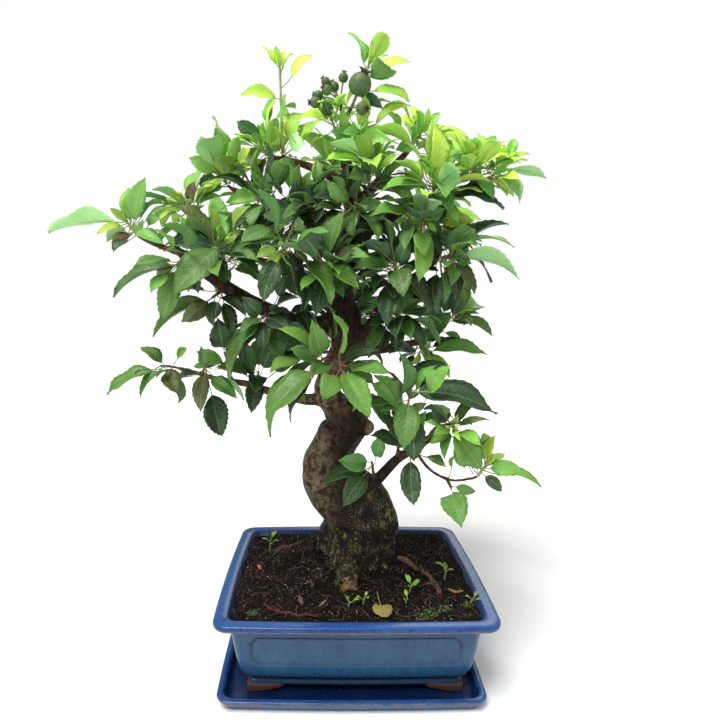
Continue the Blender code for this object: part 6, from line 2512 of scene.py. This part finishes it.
    def cushion(self, x: float, y: float, spread: float) -> BMesh:
        """A tuft of moss as a crowd of small pointed leaves.

        Args:
            x: The place of its middle, to the right.
            y: The place of its middle, to the back.
            spread: Its radius.

        Returns:
            Its mesh.
        """
        bm = tone_mesh()
        for _ in range(round(spread * 13)):
            away = spread * math.sqrt(self.draw.random())
            turn = self.draw.uniform(*ANY_TURN)
            px, py = in_pot(x + math.cos(turn) * away, y + math.sin(turn) * away)
            tall = self.draw.uniform(1.4, 3.0) * (1 - 0.5 * away / spread)
            lean = self.turn(0.7, "X") @ self.turn(0.7, "Y")
            place = Matrix.Translation((px, py, fine_height(px, py) + tall * 0.3)) @ lean
            self.bit(bm, place, (4, 0.55, 0.1, tall), (0.5, 1.3), MOSS_TONES)
        return bm

    def crust(self, bark: Object, count: int) -> BMesh:
        """Crumbs and bits of moss that cling to the foot of the trunk and its roots.

        Args:
            bark: The tree's wood.
            count: How many.

        Returns:
            Their mesh.
        """
        bm = tone_mesh()
        low, high = CRUST_HEIGHT
        spots = [v for v in bark.data.vertices if low < v.co.z < high and v.normal.z > 0.1]
        for vert in self.draw.sample(spots, count):
            size = self.draw.uniform(0.5, 1.9) * (0.4 + 0.6 * (high - vert.co.z) / (high - low))
            turn = vert.normal.to_track_quat("Z", "Y").to_matrix().to_4x4()
            turn = turn @ Matrix.Rotation(self.draw.uniform(*ANY_TURN), 4, "Z")
            place = Matrix.Translation(vert.co / MM) @ turn
            tones = MOSS_TONES if self.draw.random() < self.moss_share else CRUST_TONES
            self.bit(bm, place, (5, size, size * 0.5, size), (0.4, 1.3), tones)
        return bm

    def odd_bits(self) -> BMesh:
        """The orange and yellow bits, the pieces of bark and the loose rootlets."""
        bm = tone_mesh()
        for line, shade in ODD_BITS:
            rows = [(x, y, fine_height(x, y) + 0.7 * r, r) for x, y, r in line]
            for vert in sweep(bm, rounded_line(rows, 4), 7):
                light = 0.75 + 0.5 * noise.noise(vert.co / 1.3)
                paint(bm, [vert], [light * value for value in shade])
                vert.co.z += 0.6 * noise.noise(vert.co / 1.7)
        return bm

    def build(self, bark: Object) -> None:
        """The bed, and what lies on it and on the trunk's foot.

        Args:
            bark: The tree's wood.
        """
        settled("soil_bed", self.bed(), [self.finishes.soil], ["soil"])
        whole = tone_mesh()
        for _ in range(self.batches):
            pour(whole, self.crumbs(self.crumb_count, (0.4, 1.5), CRUMB_TONES, 0.9))
            pour(whole, self.crumbs(self.fleck_count, (0.3, 0.75), FLECK_TONES, 0.5))
            pour(whole, self.threads(self.thread_count))
        for x, y, spread in self.moss:
            pour(whole, self.cushion(x, y, spread))
        for _ in range(self.crust_batches):
            pour(whole, self.crust(bark, self.crust_count))
        pour(whole, self.odd_bits())
        settled("soil_litter", outwards(whole), [self.finishes.bits], [], smooth=False)


class RoundLeaf(Leaf):
    """A leaf that is nearly as full at its ends as in its middle."""

    def half(self, t: float) -> float:
        """Half the blade's width at share t of its length."""
        return 0.5 * self.width * math.sin(math.pi * (0.08 + 0.82 * t)) ** 0.6


@dataclass
class Litter(Part):
    """The yellow leaf and the bare red twig on the soil, and the weed seedlings."""

    foliage: Foliage
    yellow: Colour = (0.29, 0.25, 0.09)
    red: Colour = (0.105, 0.038, 0.026)

    def fallen_leaf(self) -> None:
        """The yellow leaf with its long stalk."""
        x, y = FALLEN_LEAF
        ground = max(soil_height(x + dx, y + dy) for dx in (-9, 0, 9) for dy in (-9, 0, 14))
        length, width = FALLEN_SIZE
        base = Vector((x, y + 11, ground + 1.6))
        foot = base + Vector((-2, length - 4, 0))
        foot.z = fine_height(foot.x, foot.y) + 4
        chord = Vector((0.05, -1, 0.1)).normalized()
        leaf = RoundLeaf(foot, base, chord, UP, length * 1.1, width * 1.06, self.yellow, 0.3)
        stem = self.foliage.fresh()
        self.foliage.plant(
            "fallen_leaf_fine", [leaf], stem, "fallen_leaf", "yellow_leaf", 0.4, dry=True,
        )

    def fallen_twig(self) -> None:
        """The bare twig, thicker at its joints, with a short fork."""
        bm = tone_mesh()
        points = [(x, y, soil_height(x, y) + 2.2, r) for (x, y), r in zip(FALLEN_TWIG, (1.0, 1.6, 0.9))]
        rows = [
            (x, y + 1.1 * math.sin(k * 1.1), z + 0.5 * math.sin(k * 0.7), r * (1.35 if k % 5 == 3 else 0.85))
            for k, (x, y, z, r) in enumerate(rounded_line(points, 11))
        ]
        x, y, z, _ = rows[11]
        fork = [(x, y, z, 1.2), (x + 2, y - 4, z + 0.4, 1.0), (x + 1, y - 8, z + 0.2, 0.5)]
        for line in (rows, rounded_line(fork, 4)):
            for k, vert in enumerate(sweep(bm, line, 10)):
                light = 0.7 + 0.5 * (k // 10 % 4 == 0)
                paint(bm, [vert], [light * value for value in self.red])
        settled("fallen_twig_fine", outwards(bm), [self.finishes.bits], ["fallen_twig"])

    def seedlings(self) -> None:
        """The weed seedlings, each a stem with a few small leaves."""
        for number, (x, y, height, count) in enumerate((*SEEDLINGS, *SPRIGS), 1):
            planned = number <= len(SEEDLINGS)
            ground = soil_height(x, y)
            middle, top = Vector((x, y, ground + 2)), Vector((x + 1.5, y - 1, ground + height))
            leaves = []
            for k in range(count):
                turn = GOLDEN * k + number
                chord = Vector((math.cos(turn), math.sin(turn), 0.55)).normalized()
                face = (UP - chord * chord.z).normalized()
                foot = middle.lerp(top, 0.86 - 0.2 * k)
                length = (SEEDLING_LEAF if planned else SPRIG_LEAF) - 2 * (k % 2)
                leaves.append(Leaf(foot, foot + chord * 3, chord, face, length, length * 0.5, WEED))
            line = [(x, y, ground - SEEDLING_DEEP, 1.0), (*middle, 0.9)]
            line += [(*middle.lerp(top, 0.6), 0.7), (*top, 0.5)]
            stem = self.foliage.stem(line, False, self.foliage.weed_stem)
            node = f"seedling_{number}" if planned else None
            self.foliage.plant(f"seedling_{number}_fine", leaves, stem, node, "seedling")

    def build(self) -> None:
        """All of them."""
        self.fallen_leaf()
        self.fallen_twig()
        self.seedlings()


@dataclass
class Fruit(Part):
    """Small apples on long stalks from one spur, each with its dried flower."""

    around: int = 26
    rows: int = 16
    dried: Colour = (0.035, 0.02, 0.013)
    green: Colour = (0.2, 0.24, 0.09)
    brown: Colour = (0.13, 0.055, 0.04)

    def apple(self, bm: BMesh, centre: Vector, radius: float, axis: Vector) -> None:
        """One apple, a little longer than wide, sunk in at its stalk.

        Args:
            bm: The mesh that it is added to.
            centre: Its middle.
            radius: Its size.
            axis: The direction from its stalk to its flower.
        """
        far = bm.verts.layers.float["far"]
        turn = axis.to_track_quat("Z", "Y").to_matrix().to_4x4()
        made = bmesh.ops.create_uvsphere(bm, u_segments=self.around, v_segments=self.rows, radius=1)
        for vert in made["verts"]:
            x, y, z = vert.co
            lobes = 1 + 0.025 * math.cos(5 * math.atan2(y, x))
            full = 1 - 0.06 * z
            dip = 0.2 * math.exp(-((math.hypot(x, y) / 0.25) ** 2))
            vert[far] = 0.5 + 0.5 * z
            spot = Vector((x * lobes * full, y * lobes * full, z * 1.02 - math.copysign(dip, z)))
            vert.co = centre + turn @ (spot * radius)

    def crown(self, bm: BMesh, centre: Vector, radius: float, axis: Vector) -> None:
        """The five dried points of the flower at an apple's far end.

        Args:
            bm: The mesh that it is added to.
            centre: The apple's middle.
            radius: Its size.
            axis: The direction from its stalk to its flower.
        """
        for k in range(5):
            out = turned(axis.orthogonal().normalized(), axis, FULL_TURN * k / 5)
            start = centre + axis * radius * 0.86 + out * radius * 0.16
            middle = start + (axis * 0.28 + out * 0.14) * radius
            end = middle + (axis * 0.1 + out * 0.34) * radius
            line = [(*start, 0.2 * radius), (*middle, 0.15 * radius), (*end, 0.03 * radius)]
            paint(bm, sweep(bm, rounded_line(line, 2), 5), self.dried)

    def bunch(self, plan: Bunch) -> None:
        """A bunch: its spur, stalks, apples and dried flowers.

        Args:
            plan: Where it hangs.
        """
        bm = tone_mesh()
        bm.verts.layers.float.new("far")
        foot, hub = Vector(plan.foot), Vector(plan.hub)
        way = (hub - foot).normalized()
        apples = []
        for x, y, z, radius in plan.fruit:
            centre = Vector((x, y, z))
            apples.append((centre, radius, (centre - hub).normalized()))
            self.apple(bm, *apples[-1])
        apple_faces = set(bm.faces)
        swells = ((GAP, 1.7), (2.5, 2.1), (4.5, 1.6), (6.5, 2.0), ((hub - foot).length + 1, 1.3))
        spur = [(*(foot + way * t), r) for t, r in swells]
        paint(bm, sweep(bm, rounded_line(spur, 4), 10), self.brown)
        for centre, radius, axis in apples:
            end = centre - axis * radius * 0.8
            sag = hub.lerp(end, 0.55) + UP * 0.06 * (end - hub).length
            line = [(*hub, 0.95), (*sag, 0.75), (*end, 0.9)]
            paint(bm, sweep(bm, rounded_line(line, 5), 7), self.green)
            self.crown(bm, centre, radius, axis)
        bmesh.ops.recalc_face_normals(bm, faces=[f for f in bm.faces if f not in apple_faces])
        for face in bm.faces:
            face.material_index = 0 if face in apple_faces else 1
        skins = [self.finishes.fruit, self.finishes.stalk]
        settled(f"{plan.name}_fine", bm, skins, [plan.name])

    def build(self) -> None:
        """Both bunches."""
        for plan in BUNCHES:
            self.bunch(plan)


class Lamp(Enum):
    """The two kinds of lamp: a wide sun, and a square panel."""

    SUN = "SUN"
    PANEL = "AREA"


LAMPS = (
    ("overhead", Lamp.SUN, (-0.6, -0.7, 2.2), math.radians(28), 3.3),
    ("front_left", Lamp.PANEL, (-1.5, -1.9, 1.2), 1.4, 16),
    ("right", Lamp.PANEL, (2.0, -0.3, 1.7), 1.1, 7),
    ("back", Lamp.PANEL, (0.5, 2.2, 1.7), 1.3, 14),
)


@dataclass
class Studio:
    """A pale floor, soft daylight from above and the front, and the camera."""

    eye: tuple[float, float, float] = (-0.029, -0.522, 0.3775)
    down: float = 7.27
    lens: float = 26
    sensor: float = 36
    shift: float = 0.0493
    sky_light: float = 0.42
    floor_size: float = 6
    aim: float = 0.3

    def floor(self) -> None:
        """A wide pale floor with a faint grain."""
        g = Graph("pale_floor")
        grain = g.noise(14, 3, 0.5)
        colour = g.mix(g.ease(grain, 0.3, 0.7), (0.80, 0.80, 0.79), (0.84, 0.84, 0.83))
        bm = bmesh.new()
        bmesh.ops.create_grid(bm, x_segments=2, y_segments=2, size=self.floor_size)
        mesh = meshed("floor", bm)
        mesh.materials.append(g.finish(colour, 0.7))
        stood("floor", mesh)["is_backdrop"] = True

    def lamp(self, name: str, kind: Lamp, place: Sequence[float], size: float, power: float) -> None:
        """A soft light that looks at the tree.

        Args:
            name: Its name.
            kind: Its kind.
            place: Where it stands.
            size: A panel's side, or a sun's width as an angle.
            power: How strong it is.
        """
        data = bpy.data.lights.new(name, kind.value)
        data.energy = power
        if kind is Lamp.SUN:
            data.angle = size
        else:
            data.size = size
        lamp = stood(name, data)
        lamp.location = place
        lamp.rotation_euler = (Vector(place) - UP * self.aim).to_track_quat("Z", "Y").to_euler()

    def sky(self) -> World:
        """An even sky that is white behind the tree and gives a softer light."""
        world = bpy.data.worlds.new("soft_sky")
        world.use_nodes = True
        tree = world.node_tree
        path = tree.nodes.new("ShaderNodeLightPath")
        strength = tree.nodes.new("ShaderNodeMapRange")
        strength.inputs["To Min"].default_value = self.sky_light
        strength.inputs["To Max"].default_value = 1.0
        tree.links.new(path.outputs["Is Camera Ray"], strength.inputs[0])
        tree.links.new(strength.outputs[0], tree.nodes["Background"].inputs[1])
        tree.nodes["Background"].inputs[0].default_value = (1, 1, 1, 1)
        return world

    def build(self) -> None:
        """Floor, lights, sky and camera."""
        self.floor()
        for row in LAMPS:
            self.lamp(*row)
        scene = bpy.context.scene
        scene.world = self.sky()
        scene.view_settings.view_transform = "Standard"
        data = bpy.data.cameras.new("camera")
        data.lens = self.lens
        data.sensor_width = self.sensor
        data.shift_x = self.shift
        scene.camera = stood("camera", data)
        scene.camera.location = self.eye
        scene.camera.rotation_euler = (math.radians(90 - self.down), 0, 0)


def dress_meshes(finishes: Finishes) -> None:
    """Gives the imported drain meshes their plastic.

    Args:
        finishes: The finishes.
    """
    for name in ("drain_mesh_left", "drain_mesh_right"):
        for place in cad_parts[name].material_slots:
            place.material = finishes.mesh


def main() -> None:
    """Builds the bonsai piece by piece, then the studio."""
    logging.basicConfig(level=logging.INFO, format="%(name)s %(message)s")
    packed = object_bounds()
    finishes = Finishes()
    tree = Tree()
    tree.grow()
    log.info("%d leaves of the solids", sum(len(rows) for rows in tree.leaves.values()))
    room = tuple([value / MM for value in corner] for corner in packed)
    log.info("%d leaves added", tree.thicken(room))
    Pot(finishes).build()
    Saucer(finishes).build()
    dress_meshes(finishes)
    bark = Wood(finishes, tree.shoots).build()
    Soil(finishes).build(bark)
    foliage = Foliage(finishes, tree)
    foliage.build()
    Fruit(finishes).build()
    Litter(finishes, foliage).build()
    Studio().build()


if __name__ == "__main__":
    main()
